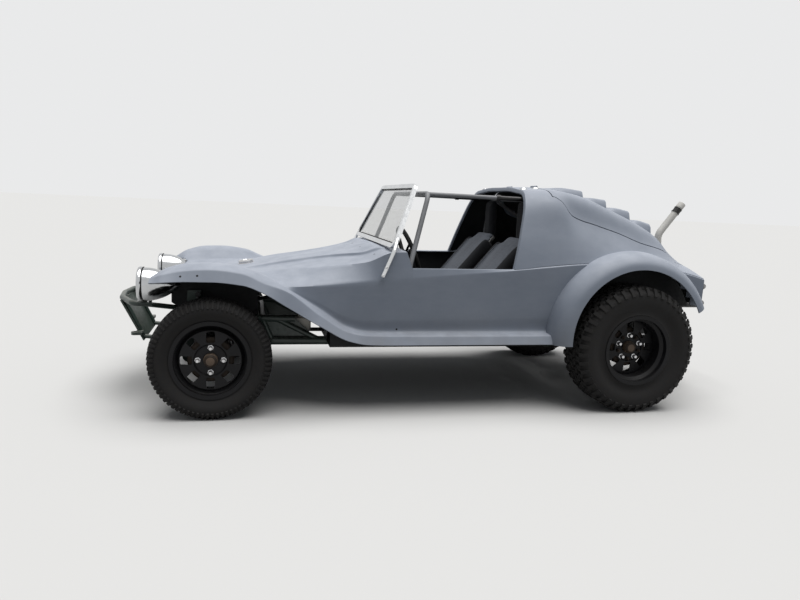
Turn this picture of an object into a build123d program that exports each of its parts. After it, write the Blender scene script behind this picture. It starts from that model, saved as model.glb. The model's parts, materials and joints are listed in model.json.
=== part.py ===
from build123d import *
from math import cos, hypot, radians, sin
import os

os.makedirs("parts", exist_ok=True)

# Frame: X runs forward, Y to the car's left, Z up from the ground, in millimetres.
# The origin is on the ground under the middle of the whole car.

# Overall sizes
wheelbase = 2400.0
front_axle_x = 1347.0
rear_axle_x = front_axle_x - wheelbase
body_half_width = 730.0
panel_wall = 6.0
lid_gap = 7.0

# Wheels and tyres
front_tyre_radius = 314.5
front_tyre_width = 201.0
front_tread_width = 150.0
front_hub_face = 678.0
front_rim_outer = 705.0
front_rim_inner = 545.0
rear_tyre_radius = 373.5
rear_tyre_width = 240.0
rear_tread_width = 190.0
rear_hub_face = 695.0
rear_rim_outer = 803.0
rear_rim_inner = 583.0
rim_lip_radius = 207.0
bead_radius = 190.5
rim_well_radius = 168.0
rim_wall = 5.0
slot_count = 8
slot_outer_radius = 152.0
slot_inner_radius = 92.0
drum_radius = 118.0
front_stub_radius = 17.0
rear_stub_radius = 20.0

# Front suspension and steering
kingpin_y = 575.0
kingpin_radius = 11.0
pin_clearance = 0.3
beam_tube_radius = 30.0
beam_ahead = 130.0
beam_low_z = 275.0
beam_high_z = 425.0
beam_half = 385.0
arm_end_y = 470.0
seat_gap = 0.3
link_spread = 70.0
steer_arm = 100.0
tie_rod_z = 385.0
tie_rod_radius = 8.0

# Chassis tubes and floor
rail_y = 350.0
rail_z = 345.0
rail_radius = 25.0
floor_z = rail_z + rail_radius + 0.3
tunnel_height = 165.0
floor_wall = 3.0
upper_rail_z = 475.0
cage_radius = 14.0
brace_radius = 12.0

# Rear suspension, engine and gearbox
torsion_ahead = 420.0
torsion_z = 400.0
torsion_radius = 38.0
rear_arm_y = 535.0

# Body openings
arch_radius = 416.0
arch_rise = 55.0
flare_radius = 515.0
door_sill_z = 806.0

# Seats
seat_y = 285.0
seat_width = 388.0
seat_recline = 40.4
seat_back_length = 660.0
headrest_width = 140.0
headrest_depth = 48.0
headrest_top_z = 1202.0

# Windshield
screen_base_z = 912.5
screen_top_z = 1270.0
screen_base_half = body_half_width - 80.0
screen_top_half = 472.0
screen_bar = 26.0
screen_depth = 24.0
glass_wall = 5.0

# Lamps
lamp_y = 411.0
lamp_z = 670.0
lamp_radius = 90.0


def ahead(distance):
    """X of a place measured forward from the front axle."""
    return front_axle_x + distance


def behind(distance):
    """X of a place measured backward from the rear axle."""
    return rear_axle_x - distance


front_axle_z = front_tyre_radius
rear_axle_z = rear_tyre_radius


def edge(inboard):
    """Y of a place measured inward from the body's widest line."""
    return body_half_width - inboard


def skin_outline(points, wall):
    """Closed (y, z) outline of an open run, with the wall on its inner, lower side."""
    inner = []
    last = len(points) - 1
    for i, (y, z) in enumerate(points):
        before = points[max(i - 1, 0)]
        after = points[min(i + 1, last)]
        normals = []
        for a, b in ((before, (y, z)), ((y, z), after)):
            length = hypot(b[0] - a[0], b[1] - a[1])
            if length > 0:
                normals.append(((b[1] - a[1]) / length, -(b[0] - a[0]) / length))
        n = (sum(v[0] for v in normals), sum(v[1] for v in normals))
        if i in (0, last):
            n = (n[0], 0.0) if abs(n[0]) > 0.25 * abs(n[1]) else (0.0, n[1])
        size = hypot(*n)
        n = (n[0] / size, n[1] / size)
        reach = wall / max(n[0] * normals[0][0] + n[1] * normals[0][1], 0.6)
        inner.append((y + n[0] * reach, z + n[1] * reach))
    return list(points) + inner[::-1]


def skin(stations, wall):
    """Ruled shell through (x, points) stations. Points from the centre line out make both sides."""
    rings = []
    for x, points in stations:
        if points[0][0] == 0:
            points = [(-y, z) for y, z in points[:0:-1]] + points
        rings.append([(x, y, z) for y, z in skin_outline(points, wall)])
    faces = [Face(Wire.make_polygon(rings[0])), Face(Wire.make_polygon(rings[-1]))]
    for front, rear in zip(rings, rings[1:]):
        for a, b, c, d in zip(front, front[1:] + front[:1], rear, rear[1:] + rear[:1]):
            faces.append(Face.make_surface_from_curves(Edge.make_line(a, b), Edge.make_line(c, d)))
    return Solid(Shell(faces))


def tube(points, radius, bend=60.0):
    """Round bar along a run of points with bent corners."""
    with BuildPart() as bar:
        with BuildLine() as run:
            if len(points) > 2:
                FilletPolyline(*points, radius=bend)
            else:
                Line(*points)
        with BuildSketch(Plane(origin=run.line @ 0, z_dir=run.line % 0)):
            Circle(radius)
        sweep()
    return bar.part


def ring(outline, centre):
    """Solid turned about an axle through centre, from an outline of (radius, y) points."""
    with BuildPart() as turned:
        with BuildSketch(Plane(origin=(centre[0], 0, centre[1]), x_dir=(0, 0, 1), z_dir=(1, 0, 0))):
            with BuildLine():
                Polyline(*[(r, -y) for r, y in outline], close=True)
            make_face()
        revolve(axis=Axis((centre[0], 0, centre[1]), (0, 1, 0)))
    return turned.part


def rod(start, end, radius):
    """Straight round bar between two points."""
    return tube([start, end], radius)


def save(part, label):
    """Names a finished piece and writes it."""
    part.label = label
    export_step(part, f"parts/{label}.step")


def both_sides(shape):
    """The shape and its mirror image across the car's centre plane."""
    return [shape, mirror(shape, about=Plane.XZ)]


# Tyres: a closed carcass round each rim, with its air space inside
def tyre(centre, middle, outer_radius, width, tread, rim_half, side):
    bulge = outer_radius - 0.42 * (outer_radius - bead_radius)
    half = width / 2
    half_tread = tread / 2
    bead = rim_half - rim_wall - 6.5
    outline = [
        (bead_radius + 0.3, bead),
        (rim_lip_radius + 1, bead + 5),
        (rim_lip_radius + 6, max(rim_half, half - 14)),
        (bulge, half),
        (outer_radius - 14, half_tread + 8),
        (outer_radius, half_tread - 8),
        (outer_radius, -half_tread + 8),
        (outer_radius - 14, -half_tread - 8),
        (bulge, -half),
        (rim_lip_radius + 6, -max(rim_half, half - 14)),
        (rim_lip_radius + 1, -bead - 5),
        (bead_radius + 0.3, -bead),
        (bead_radius + 0.3, -bead + 16),
        (bulge, -half + 14),
        (outer_radius - 18, -half_tread + 10),
        (outer_radius - 18, half_tread - 10),
        (bulge, half - 14),
        (bead_radius + 0.3, bead - 16),
    ]
    return ring([(r, side * (middle + y)) for r, y in outline], centre)


def rim(centre, outer, inner, face, bolt_circle, bolts, side):
    """Steel wheel: a dropped barrel and a dished centre with open slots."""
    t = rim_wall
    disc_back = face - 6
    flange = min(face + 2, outer - 52)
    barrel = [
        (rim_lip_radius, outer),
        (rim_lip_radius, outer - t),
        (bead_radius, outer - t - 6),
        (bead_radius, outer - 34),
        (rim_well_radius + t, outer - 48),
        (rim_well_radius + t, inner + 48),
        (bead_radius, inner + 34),
        (bead_radius, inner + t + 6),
        (rim_lip_radius, inner + t),
        (rim_lip_radius, inner),
        (bead_radius - t, inner + 2),
        (bead_radius - t, inner + 32),
        (rim_well_radius, inner + 46),
        (rim_well_radius, outer - 46),
        (bead_radius - t, outer - 32),
        (bead_radius - t, outer - 2),
    ]
    disc = [
        (rim_well_radius + 2, flange),
        (rim_well_radius + 2, flange - 10),
        (slot_outer_radius + 4, disc_back + 4),
        (slot_inner_radius - 4, disc_back + 9),
        (bolt_circle + 14, disc_back),
        (38, disc_back),
        (38, face),
        (bolt_circle + 13, face),
        (slot_inner_radius - 6, face + 9),
        (slot_outer_radius + 4, face + 5),
    ]
    rings = [ring([(r, side * y) for r, y in part], centre) for part in (barrel, disc)]
    with BuildPart() as wheel:
        add(rings)
        plane = Plane(origin=(centre[0], side * (face - 60), centre[1]), x_dir=(1, 0, 0),
                      z_dir=(0, side, 0))
        slot_middle = (slot_inner_radius + slot_outer_radius) / 2
        with BuildSketch(plane):
            with PolarLocations(slot_middle, slot_count):
                RectangleRounded(slot_outer_radius - slot_inner_radius, 44, 9)
        extrude(amount=120, mode=Mode.SUBTRACT)
        with BuildSketch(plane):
            with PolarLocations(bolt_circle, bolts, start_angle=90):
                Circle(8)
        extrude(amount=120, mode=Mode.SUBTRACT)
    return wheel.part


def drum(centre, back, face, bolt_circle, bolts, stub, side):
    """Brake drum with its hub, studs and grease cap."""
    outline = [
        (0, back + 50),
        (stub + pin_clearance, back + 50),
        (stub + pin_clearance, back + 12),
        (drum_radius - 12, back + 12),
        (drum_radius - 12, back),
        (drum_radius, back),
        (drum_radius, face - 14),
        (drum_radius - 8, face - 6),
        (36, face - 6),
        (36, face + 4),
        (33, face + 30),
        (26, face + 36),
        (0, face + 36),
    ]
    body = ring([(r, side * y) for r, y in outline], centre)
    plane = Plane(origin=(centre[0], side * (face - 8), centre[1]), x_dir=(1, 0, 0),
                  z_dir=(0, side, 0))
    with BuildPart() as hub:
        add(body)
        with BuildSketch(plane):
            with PolarLocations(bolt_circle, bolts, start_angle=90):
                Circle(6)
        extrude(amount=28)
        with BuildSketch(plane.offset(8 + 2 * seat_gap)):
            with PolarLocations(bolt_circle, bolts, start_angle=90):
                RegularPolygon(11, 6)
        extrude(amount=14)
    return hub.part


# Wheels: end, axle x, axle z, tyre radius, width, tread, rim outer, inner and face, bolts,
# bolt circle, drum back and stub axle radius
wheel_rows = [
    ("front", ahead(0), front_axle_z, front_tyre_radius, front_tyre_width, front_tread_width,
     front_rim_outer, front_rim_inner, front_hub_face, 4, 65.0, 604.0, front_stub_radius),
    ("rear", behind(0), rear_axle_z, rear_tyre_radius, rear_tyre_width, rear_tread_width,
     rear_rim_outer, rear_rim_inner, rear_hub_face, 5, 70.0, 616.0, rear_stub_radius),
]
for end, x, z, radius, width, tread, outer, inner, face, bolts, circle, drum_back, stub in wheel_rows:
    for hand, side in (("left", 1), ("right", -1)):
        middle = (outer + inner) / 2
        save(tyre((x, z), middle, radius, width, tread, (outer - inner) / 2, side),
             f"tyre_{end}_{hand}")
        save(rim((x, z), outer, inner, face, circle, bolts, side), f"rim_{end}_{hand}")
        save(drum((x, z), drum_back, face - seat_gap, circle, bolts, stub, side),
             f"drum_{end}_{hand}")

# Front beam: two cross tubes, joined by shock towers and frame clamps
with BuildPart() as front_beam:
    for z in (beam_low_z, beam_high_z):
        add(rod((ahead(beam_ahead), -beam_half, z), (ahead(beam_ahead), beam_half, z),
                beam_tube_radius))
    for y in (-370, -170, 170, 370):
        with BuildSketch(Plane.XZ.offset(-y - 6)):
            with Locations((ahead(beam_ahead), (beam_low_z + beam_high_z) / 2)):
                RectangleRounded(50, beam_high_z - beam_low_z + 70, 20)
        extrude(amount=12)
    for y in (-370, 370):
        with BuildSketch(Plane.XZ.offset(-y - 6)):
            with BuildLine():
                Polyline((ahead(beam_ahead - 25), beam_high_z), (ahead(beam_ahead + 25), beam_high_z),
                         (ahead(beam_ahead + 10), beam_high_z + 210),
                         (ahead(beam_ahead - 62), beam_high_z + 210),
                         (ahead(beam_ahead - 62), beam_high_z + 165), close=True)
            make_face()
        extrude(amount=12)
save(front_beam.part, "front_beam")

# Trailing arms: from the beam's tube ends back to the kingpin carriers
arm_hub_y = beam_half + 17.3
with BuildPart() as arm_left:
    for z in (beam_low_z, beam_high_z):
        end_z = front_axle_z + (link_spread if z == beam_high_z else -link_spread)
        add(rod((ahead(beam_ahead), beam_half + 0.3, z), (ahead(beam_ahead), beam_half + 34, z), 36))
        add(rod((ahead(beam_ahead), arm_hub_y, z), (ahead(0), arm_end_y, end_z), 15))
        add(rod((ahead(0), arm_end_y - 15, end_z), (ahead(0), arm_end_y + 15, end_z), 24))
        add(rod((ahead(0), arm_end_y + 14, end_z), (ahead(0), kingpin_y - 38, end_z), 10))
    with BuildSketch(Plane.XZ.offset(-(kingpin_y - 50))):
        with Locations((ahead(0), front_axle_z)):
            RectangleRounded(36, 2 * link_spread + 36, 8)
    extrude(amount=-14)
    for z in (front_axle_z - link_spread - 16, front_axle_z + link_spread - 4):
        with BuildSketch(Plane.XY.offset(z)):
            with Locations((ahead(0), kingpin_y - 22)):
                Rectangle(36, 30)
            with Locations((ahead(0), kingpin_y)):
                Circle(18)
        extrude(amount=20)
    add(rod((ahead(0), kingpin_y, front_axle_z - link_spread - 20),
            (ahead(0), kingpin_y, front_axle_z + link_spread + 20), kingpin_radius))
save(Compound(children=both_sides(arm_left.part)), "front_arms")

# Steering knuckles: a barrel on the kingpin, the stub axle and the steering arm
barrel_half = link_spread - 8
for hand, side in (("left", 1), ("right", -1)):
    with BuildPart() as knuckle:
        add(rod((ahead(0), side * kingpin_y, front_axle_z - barrel_half),
                (ahead(0), side * kingpin_y, front_axle_z + barrel_half), 20))
        add(rod((ahead(0), side * kingpin_y, front_axle_z),
                (ahead(0), side * 650, front_axle_z), front_stub_radius))
        add(rod((ahead(0), side * 596, front_axle_z), (ahead(0), side * 601, front_axle_z),
                drum_radius - 4))
        add(rod((ahead(-8), side * kingpin_y, front_axle_z + 6),
                (ahead(-steer_arm), side * kingpin_y, front_axle_z + 6), 9))
        add(rod((ahead(-steer_arm), side * kingpin_y, front_axle_z),
                (ahead(-steer_arm), side * kingpin_y, tie_rod_z + 14), tie_rod_radius))
        add(rod((ahead(0), side * kingpin_y, front_axle_z - barrel_half - 1),
                (ahead(0), side * kingpin_y, front_axle_z + barrel_half + 1),
                kingpin_radius + pin_clearance), mode=Mode.SUBTRACT)
    save(knuckle.part, f"knuckle_{hand}")

# Tie rods: each turns on its knuckle's ball pin and ends at the pitman arm's pin
for hand, side, lift in (("left", 1, 12), ("right", -1, -12)):
    outer_eye = (ahead(-steer_arm), side * kingpin_y, tie_rod_z)
    inner_eye = (ahead(-steer_arm), 0, tie_rod_z + lift)
    with BuildPart() as tie_rod:
        add(rod(outer_eye, inner_eye, 8))
        for eye in (outer_eye, inner_eye):
            add(rod((eye[0], eye[1], eye[2] - 9), (eye[0], eye[1], eye[2] + 9), 15))
        for eye in (outer_eye, inner_eye):
            add(rod((eye[0], eye[1], eye[2] - 12), (eye[0], eye[1], eye[2] + 12),
                    tie_rod_radius + pin_clearance), mode=Mode.SUBTRACT)
    save(tie_rod.part, f"tie_rod_{hand}")

# Pitman arm: hangs on the steering box and carries both tie rods on one pin
with BuildPart() as pitman_arm:
    add(rod((ahead(0), 0, tie_rod_z - 46), (ahead(0), 0, tie_rod_z - 24), 20))
    add(rod((ahead(-steer_arm), 0, tie_rod_z - 46), (ahead(-steer_arm), 0, tie_rod_z - 24), 15))
    with BuildSketch(Plane.XY.offset(tie_rod_z - 42)):
        with Locations((ahead(-steer_arm / 2), 0)):
            Rectangle(steer_arm, 24)
    extrude(amount=14)
    add(rod((ahead(-steer_arm), 0, tie_rod_z - 30), (ahead(-steer_arm), 0, tie_rod_z + 26),
            tie_rod_radius))
    add(rod((ahead(0), 0, tie_rod_z - 60), (ahead(0), 0, tie_rod_z - 10), 12 + pin_clearance),
        mode=Mode.SUBTRACT)
save(pitman_arm.part, "pitman_arm")

# Steering box: clamped on the upper beam tube, with its shaft down to the pitman arm
box_z = beam_high_z + 45
with BuildPart() as steering_box:
    with BuildSketch(Plane.XY.offset(box_z - 30)):
        with Locations((ahead(beam_ahead / 2 - 10), 0)):
            RectangleRounded(beam_ahead + 20, 110, 20)
    extrude(amount=70)
    add(rod((ahead(0), 0, tie_rod_z - 50), (ahead(0), 0, box_z), 12))
    add(rod((ahead(beam_ahead), -40, beam_high_z), (ahead(beam_ahead), 40, beam_high_z),
            beam_tube_radius + 10))
    add(rod((ahead(beam_ahead), -60, beam_high_z), (ahead(beam_ahead), 60, beam_high_z),
            beam_tube_radius + 0.2), mode=Mode.SUBTRACT)
save(steering_box.part, "steering_box")

# Steering wheel and its column
wheel_centre = Vector(ahead(-1125), 290, 860)
wheel_tilt = 22.0
column_axis = Vector(-cos(radians(wheel_tilt)), 0, sin(radians(wheel_tilt)))
steer_plane = Plane(origin=wheel_centre, x_dir=(0, 1, 0), z_dir=column_axis)
steering_wheel_radius = 165.0
with BuildPart() as steering_wheel:
    with BuildSketch(Plane(origin=wheel_centre + Vector(0, steering_wheel_radius, 0),
                           x_dir=(0, 1, 0), z_dir=steer_plane.y_dir)):
        Circle(13)
    revolve(axis=Axis(wheel_centre, column_axis))
    with BuildSketch(steer_plane.offset(-45)):
        Circle(42)
    extrude(amount=25)
    for turn in (90, 210, 330):
        spoke_end = wheel_centre + (steer_plane.x_dir * cos(radians(turn))
                                    + steer_plane.y_dir * sin(radians(turn))) * steering_wheel_radius
        add(rod(wheel_centre - column_axis * 32, spoke_end, 7))
    with BuildSketch(steer_plane.offset(-60)):
        Circle(20)
    extrude(amount=20)
save(steering_wheel.part, "steering_wheel")

column_radius = 24.0
column_low = Vector(ahead(-24.9), 30, box_z + 8)
column_bend = wheel_centre - column_axis * 410
with BuildPart() as steering_column:
    add(rod(wheel_centre - column_axis * 60.3, wheel_centre - column_axis * 420, column_radius))
    add(rod(column_bend, column_low, 11))
save(steering_column.part, "steering_column")

# Floor pan: flat floors either side of a raised tunnel, with turned-up edges
pan_front = ahead(-620)
pan_rear = behind(-torsion_ahead - 80)
pan_half = body_half_width - 84.5
bulkhead_x = behind(-523)
shelf_z = 394.0
with BuildPart() as floor_pan:
    with BuildSketch(Plane.YZ.offset(pan_rear)):
        with BuildLine():
            half = [(0, floor_z + tunnel_height), (50, floor_z + tunnel_height),
                    (75, floor_z + tunnel_height - 25), (80, floor_z),
                    (pan_half, floor_z), (pan_half, floor_z + 85)]
            outline = skin_outline(half, -floor_wall)
            Polyline(*outline, close=True)
        make_face()
        mirror(about=Plane.YZ)
    extrude(amount=pan_front - pan_rear)
save(floor_pan.part, "floor_pan")

# Bulkheads: the front one closes the footwells, the rear one stands behind the seats
bulkhead_front_half = [(0, 822.0), (519, 792.8), (634, 706), (634, 600), (560, 530), (480, floor_z + 4),
                       (86, floor_z + 4), (86, 0), (0, 0)]
with BuildPart() as bulkheads:
    with BuildSketch(Plane.YZ.offset(pan_front)):
        with BuildLine():
            Polyline(*bulkhead_front_half, close=True)
        make_face()
        mirror(about=Plane.YZ)
    extrude(amount=-floor_wall)
    with BuildSketch(Plane.YZ.offset(bulkhead_x)):
        with Locations((0, 570)):
            Rectangle(2 * (pan_half - floor_wall - seat_gap), 500)
    extrude(amount=-floor_wall)
    with BuildSketch(Plane.XY):
        Rectangle(2 * wheelbase, 2 * body_half_width)
    extrude(amount=floor_z + floor_wall + seat_gap, mode=Mode.SUBTRACT)
    with BuildSketch(Plane.YZ.offset(pan_rear - 100)):
        with BuildLine():
            Polyline((-84, 0), (-84, floor_z), (-79, floor_z + tunnel_height - 20),
                     (-52, floor_z + tunnel_height + 5), (52, floor_z + tunnel_height + 5),
                     (79, floor_z + tunnel_height - 20), (84, floor_z), (84, 0), close=True)
        make_face()
    extrude(amount=wheelbase, mode=Mode.SUBTRACT)
    add(rod(column_bend, column_low, 14), mode=Mode.SUBTRACT)
    with BuildSketch(Plane.XY.offset(shelf_z)):
        with Locations((pan_front + 87, 278)):
            Rectangle(180, 100)
    extrude(amount=floor_wall)
save(bulkheads.part, "bulkheads")

# Brake fluid reservoir on its shelf ahead of the left footwell
with BuildPart() as brake_reservoir:
    with BuildSketch(Plane.XY.offset(shelf_z + floor_wall + seat_gap)):
        with Locations((pan_front + 122, 278)):
            RectangleRounded(96, 84, 12)
    extrude(amount=72)
    with BuildSketch(Plane.XY.offset(shelf_z + floor_wall + 72)):
        with Locations((pan_front + 122, 278)):
            Circle(26)
    extrude(amount=16)
save(brake_reservoir.part, "brake_reservoir")

# Front shocks: upright between the lower arms and the towers
shock_y = 385.0
shocks = []
for side in (1, -1):
    top = (ahead(beam_ahead - 45), side * shock_y, beam_high_z + 190)
    foot = (ahead(beam_ahead - 68), side * shock_y, beam_low_z - 13)
    middle_point = tuple(0.45 * a + 0.55 * b for a, b in zip(top, foot))
    with BuildPart() as shock:
        add(rod(top, foot, 9))
        add(rod(middle_point, (foot[0], foot[1], foot[2] + 20), 20))
        add(rod((top[0], side * (376 + seat_gap), top[2]), (top[0], side * 396, top[2]), 15))
        add(rod((foot[0], side * 372, foot[2]), (foot[0], side * 398, foot[2]), 15))
        add(rod((foot[0], side * 372, foot[2]), (foot[0], side * 430, foot[2]), 8))
        add(rod((ahead(beam_ahead), side * arm_hub_y, beam_low_z),
                (ahead(0), side * arm_end_y, front_axle_z - link_spread), 15 + seat_gap),
            mode=Mode.SUBTRACT)
    shocks.append(shock.part)
save(Compound(children=shocks), "front_shocks")

# Chassis: two long tube rails, raised at the nose to meet the beam
torsion_x = behind(-torsion_ahead)
beam_x = ahead(beam_ahead)
with BuildPart() as chassis_frame:
    for side in (1, -1):
        y = side * rail_y
        add(rod((ahead(-322), y, rail_z), (torsion_x, y, rail_z), rail_radius))
        add(rod((beam_x, side * 300, beam_low_z + 10), (ahead(-322), y, rail_z), rail_radius))
        add(rod((beam_x, side * 300, beam_high_z), (ahead(-264), y, upper_rail_z), rail_radius))
        add(rod((ahead(-264), y, upper_rail_z), (ahead(-450), y, upper_rail_z), 20))
        add(rod((ahead(-264), y, upper_rail_z), (ahead(-322), y, rail_z), 16))
        add(rod((ahead(-340), y, upper_rail_z), (ahead(-600), y, rail_z), 16))
    for x in (ahead(-322), ahead(-900), behind(-700)):
        add(rod((x, -rail_y, rail_z), (x, rail_y, rail_z), 20))
    add(rod((ahead(-264), -rail_y, upper_rail_z), (ahead(-264), rail_y, upper_rail_z), 20))
    for z in (beam_low_z, beam_high_z):
        add(rod((beam_x, -500, z), (beam_x, 500, z), beam_tube_radius + seat_gap),
            mode=Mode.SUBTRACT)
    with BuildSketch(Plane.XZ.offset(-500)):
        with Locations((beam_x + 100, beam_high_z)):
            Rectangle(200, 500)
    extrude(amount=1000, mode=Mode.SUBTRACT)
    add(rod((torsion_x, -500, torsion_z), (torsion_x, 500, torsion_z), torsion_radius + seat_gap),
        mode=Mode.SUBTRACT)
save(chassis_frame.part, "chassis_frame")

# Rear torsion housing, trailing arms with hub carriers, shocks and half shafts
horn_z = 485.0
with BuildPart() as torsion_housing:
    add(rod((torsion_x, -480, torsion_z), (torsion_x, 480, torsion_z), torsion_radius))
    for y in (-460, 460):
        with BuildSketch(Plane.XZ.offset(-y - 8)):
            with Locations((torsion_x, torsion_z)):
                Circle(75)
        extrude(amount=16)
    for side in (1, -1):
        add(tube([(torsion_x, side * 235, torsion_z), (torsion_x - 30, side * 235, horn_z),
                  (behind(130), side * 235, horn_z)], 22, 40))
        with BuildSketch(Plane.XZ.offset(-side * 460 - 5)):
            with BuildLine():
                Polyline((torsion_x - 40, torsion_z + 40), (torsion_x + 40, torsion_z + 40),
                         (torsion_x + 20, torsion_z + 340), (torsion_x - 20, torsion_z + 340),
                         close=True)
            make_face()
        extrude(amount=10)
save(torsion_housing.part, "torsion_housing")

arms = []
for side in (1, -1):
    with BuildPart() as rear_arm:
        add(rod((torsion_x, side * 480.3, torsion_z), (torsion_x, side * 545, torsion_z), 50))
        with BuildSketch(Plane.XZ.offset(-side * (rear_arm_y + 4))):
            with BuildLine():
                Polyline((torsion_x, torsion_z - 50), (torsion_x, torsion_z + 50),
                         (behind(40), rear_axle_z + 32), (behind(40), rear_axle_z - 32), close=True)
            make_face()
        extrude(amount=side * 8)
        add(rod((behind(0), side * 520, rear_axle_z), (behind(0), side * 608, rear_axle_z), 48))
        add(rod((behind(0), side * 606, rear_axle_z), (behind(0), side * 611, rear_axle_z),
                drum_radius - 4))
        add(rod((behind(0), side * 600, rear_axle_z), (behind(0), side * 660, rear_axle_z),
                rear_stub_radius))
    arms.append(rear_arm.part)
save(Compound(children=arms), "rear_arms")

rear_shocks = []
for side in (1, -1):
    top = (torsion_x, side * 485, torsion_z + 320)
    foot = (behind(-105), side * 495, rear_axle_z + 10)
    middle_point = tuple(0.5 * a + 0.5 * b for a, b in zip(top, foot))
    with BuildPart() as rear_shock:
        add(rod(top, foot, 10))
        add(rod(middle_point, foot, 26))
        add(rod((foot[0], side * 480, foot[2]), (foot[0], side * (531 - seat_gap), foot[2]), 14))
        add(rod((top[0], side * (465 + seat_gap), top[2]), (top[0], side * 500, top[2]), 16))
    rear_shocks.append(rear_shock.part)
save(Compound(children=rear_shocks), "rear_shocks")

shafts = []
for side in (1, -1):
    with BuildPart() as shaft:
        add(rod((behind(0), side * 150.3, rear_axle_z), (behind(0), side * 519.7, rear_axle_z), 15))
        add(rod((behind(0), side * 150.3, rear_axle_z), (behind(0), side * 215, rear_axle_z), 50))
        add(rod((behind(0), side * 455, rear_axle_z), (behind(0), side * 519.7, rear_axle_z), 46))
    shafts.append(shaft.part)
save(Compound(children=shafts), "half_shafts")

with BuildPart() as transaxle:
    with BuildSketch(Plane.YZ.offset(behind(-300))):
        with Locations((0, rear_axle_z)):
            RectangleRounded(150, 170, 50)
    with BuildSketch(Plane.YZ.offset(behind(-80))):
        with Locations((0, rear_axle_z)):
            RectangleRounded(220, 230, 60)
    loft()
    add(rod((behind(0), -150, rear_axle_z), (behind(0), 150, rear_axle_z), 85))
    with BuildSketch(Plane.YZ.offset(behind(-80))):
        with Locations((0, rear_axle_z)):
            RectangleRounded(220, 230, 60)
    with BuildSketch(Plane.YZ.offset(behind(170))):
        with Locations((0, rear_axle_z + 30)):
            RectangleRounded(360, 360, 120)
    loft()
    add(rod((behind(115), -213 + seat_gap, horn_z), (behind(115), 213 - seat_gap, horn_z), 15))
save(transaxle.part, "transaxle")

# Engine: flat four with its fan shroud, hung behind the gearbox
with BuildPart() as engine:
    with BuildSketch(Plane.YZ.offset(behind(170.3))):
        with Locations((0, 395)):
            RectangleRounded(300, 240, 40)
    extrude(amount=-430)
    with BuildSketch(Plane.YZ.offset(behind(250))):
        with Locations((0, 400)):
            RectangleRounded(760, 170, 30)
    extrude(amount=-290)
    with BuildSketch(Plane.YZ.offset(behind(330))):
        with BuildLine():
            Polyline((-290, 480), (-290, 640), (-160, 760), (160, 760), (290, 640), (290, 480),
                     close=True)
        make_face()
    extrude(amount=-150)
    add(rod((behind(600), 0, 370), (behind(640), 0, 370), 85))
save(engine.part, "engine")

# Exhaust: a collector under the tail and a stinger up past the lid
with BuildPart() as exhaust:
    add(tube([(behind(690), 0, 400), (behind(670), 0, 560), (behind(622), 0, 820),
              (behind(600), 0, 1020), (behind(768), 0, 1242)], 24, bend=90))
    for side in (1, -1):
        add(tube([(behind(700), 0, 392), (behind(700), side * 250, 293.7),
                  (behind(480), side * 330, 293.7)], 21, bend=80))
save(exhaust.part, "exhaust")

# Body skin, left half. Columns of the nose table: x ahead of the front axle, then heights and
# widths of the hood's middle, its crease, the valley or belt, and the fender's foot, crown,
# crease and lip. Widths of the outer four are measured in from the body's edge.
nose_table = [
    (300, 560, 300, 590, 330, 650, 250, 690, 170, 730, 90, 728, 50, 712),
    (230, 655, 330, 690, 330, 720, 250, 758, 140, 777, 35, 757, 2, 722),
    (100, 705, 370, 715, 310, 730, 240, 785, 130, 808, 30, 783, 0, 728),
    (0, 728, 390, 730, 300, 735, 230, 792, 130, 811, 30, 788, 0, 728),
    (-160, 752, 410, 742, 280, 738, 210, 778, 125, 793, 30, 769, 0, 713),
    (-260, 768, 425, 752, 230, 735, 190, 750, 110, 752, 30, 724, 0, 676),
    (-380, 787, 440, 768, 88, 698, 76, 694, 52, 690, 28, 682, 0, 606),
    (-560, 818, 500, 790, 86, 709, 78, 585, 56, 572, 28, 553, 0, 501),
    (-720, 848, 560, 815, 82, 724, 78, 482, 56, 474, 26, 462, 0, 420),
    (-820, 872, 600, 835, 78, 733, 78, 458, 50, 452, 24, 446, 0, 401),
    (-950, 906, 640, 893, 75, 746, 78, 454, 50, 449, 24, 443, 0, 398),
    (-1063, 912, 642, 900, 72, 757, 78, 454, 50, 449, 24, 443, 0, 398),
]
nose_stations = []
for d, z0, y1, z1, in2, z2, in3, z3, in4, z4, in5, z5, in6, z6 in nose_table:
    nose_stations.append((ahead(d), [
        (0, z0), (y1, z1), (edge(in2), z2), (edge(in3), z3), (edge(in4), z4), (edge(in5), z5),
        (edge(in6), z6)]))

# Columns of the side table: x, then the heights of the top edge and belt; below the belt the
# section is the same all along
side_lip = [(edge(78), 454), (edge(50), 449), (edge(24), 443), (edge(0), 398)]
side_table = [
    (ahead(-1063), 812, 757),
    (behind(-740), 818, 811),
    (behind(-550), 840, 830),
    (behind(-300), 862, 853),
    (behind(-50), 868, 860),
    (behind(200), 848, 840),
    (behind(420), 808, 800),
    (behind(500), 786, 778),
]


def side_heights(x):
    """Heights of the sides' top edge and belt at a station."""
    for (x0, top0, belt0), (x1, top1, belt1) in zip(side_table, side_table[1:]):
        if x0 >= x >= x1:
            part = (x0 - x) / (x0 - x1)
            return top0 + (top1 - top0) * part, belt0 + (belt1 - belt0) * part


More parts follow.
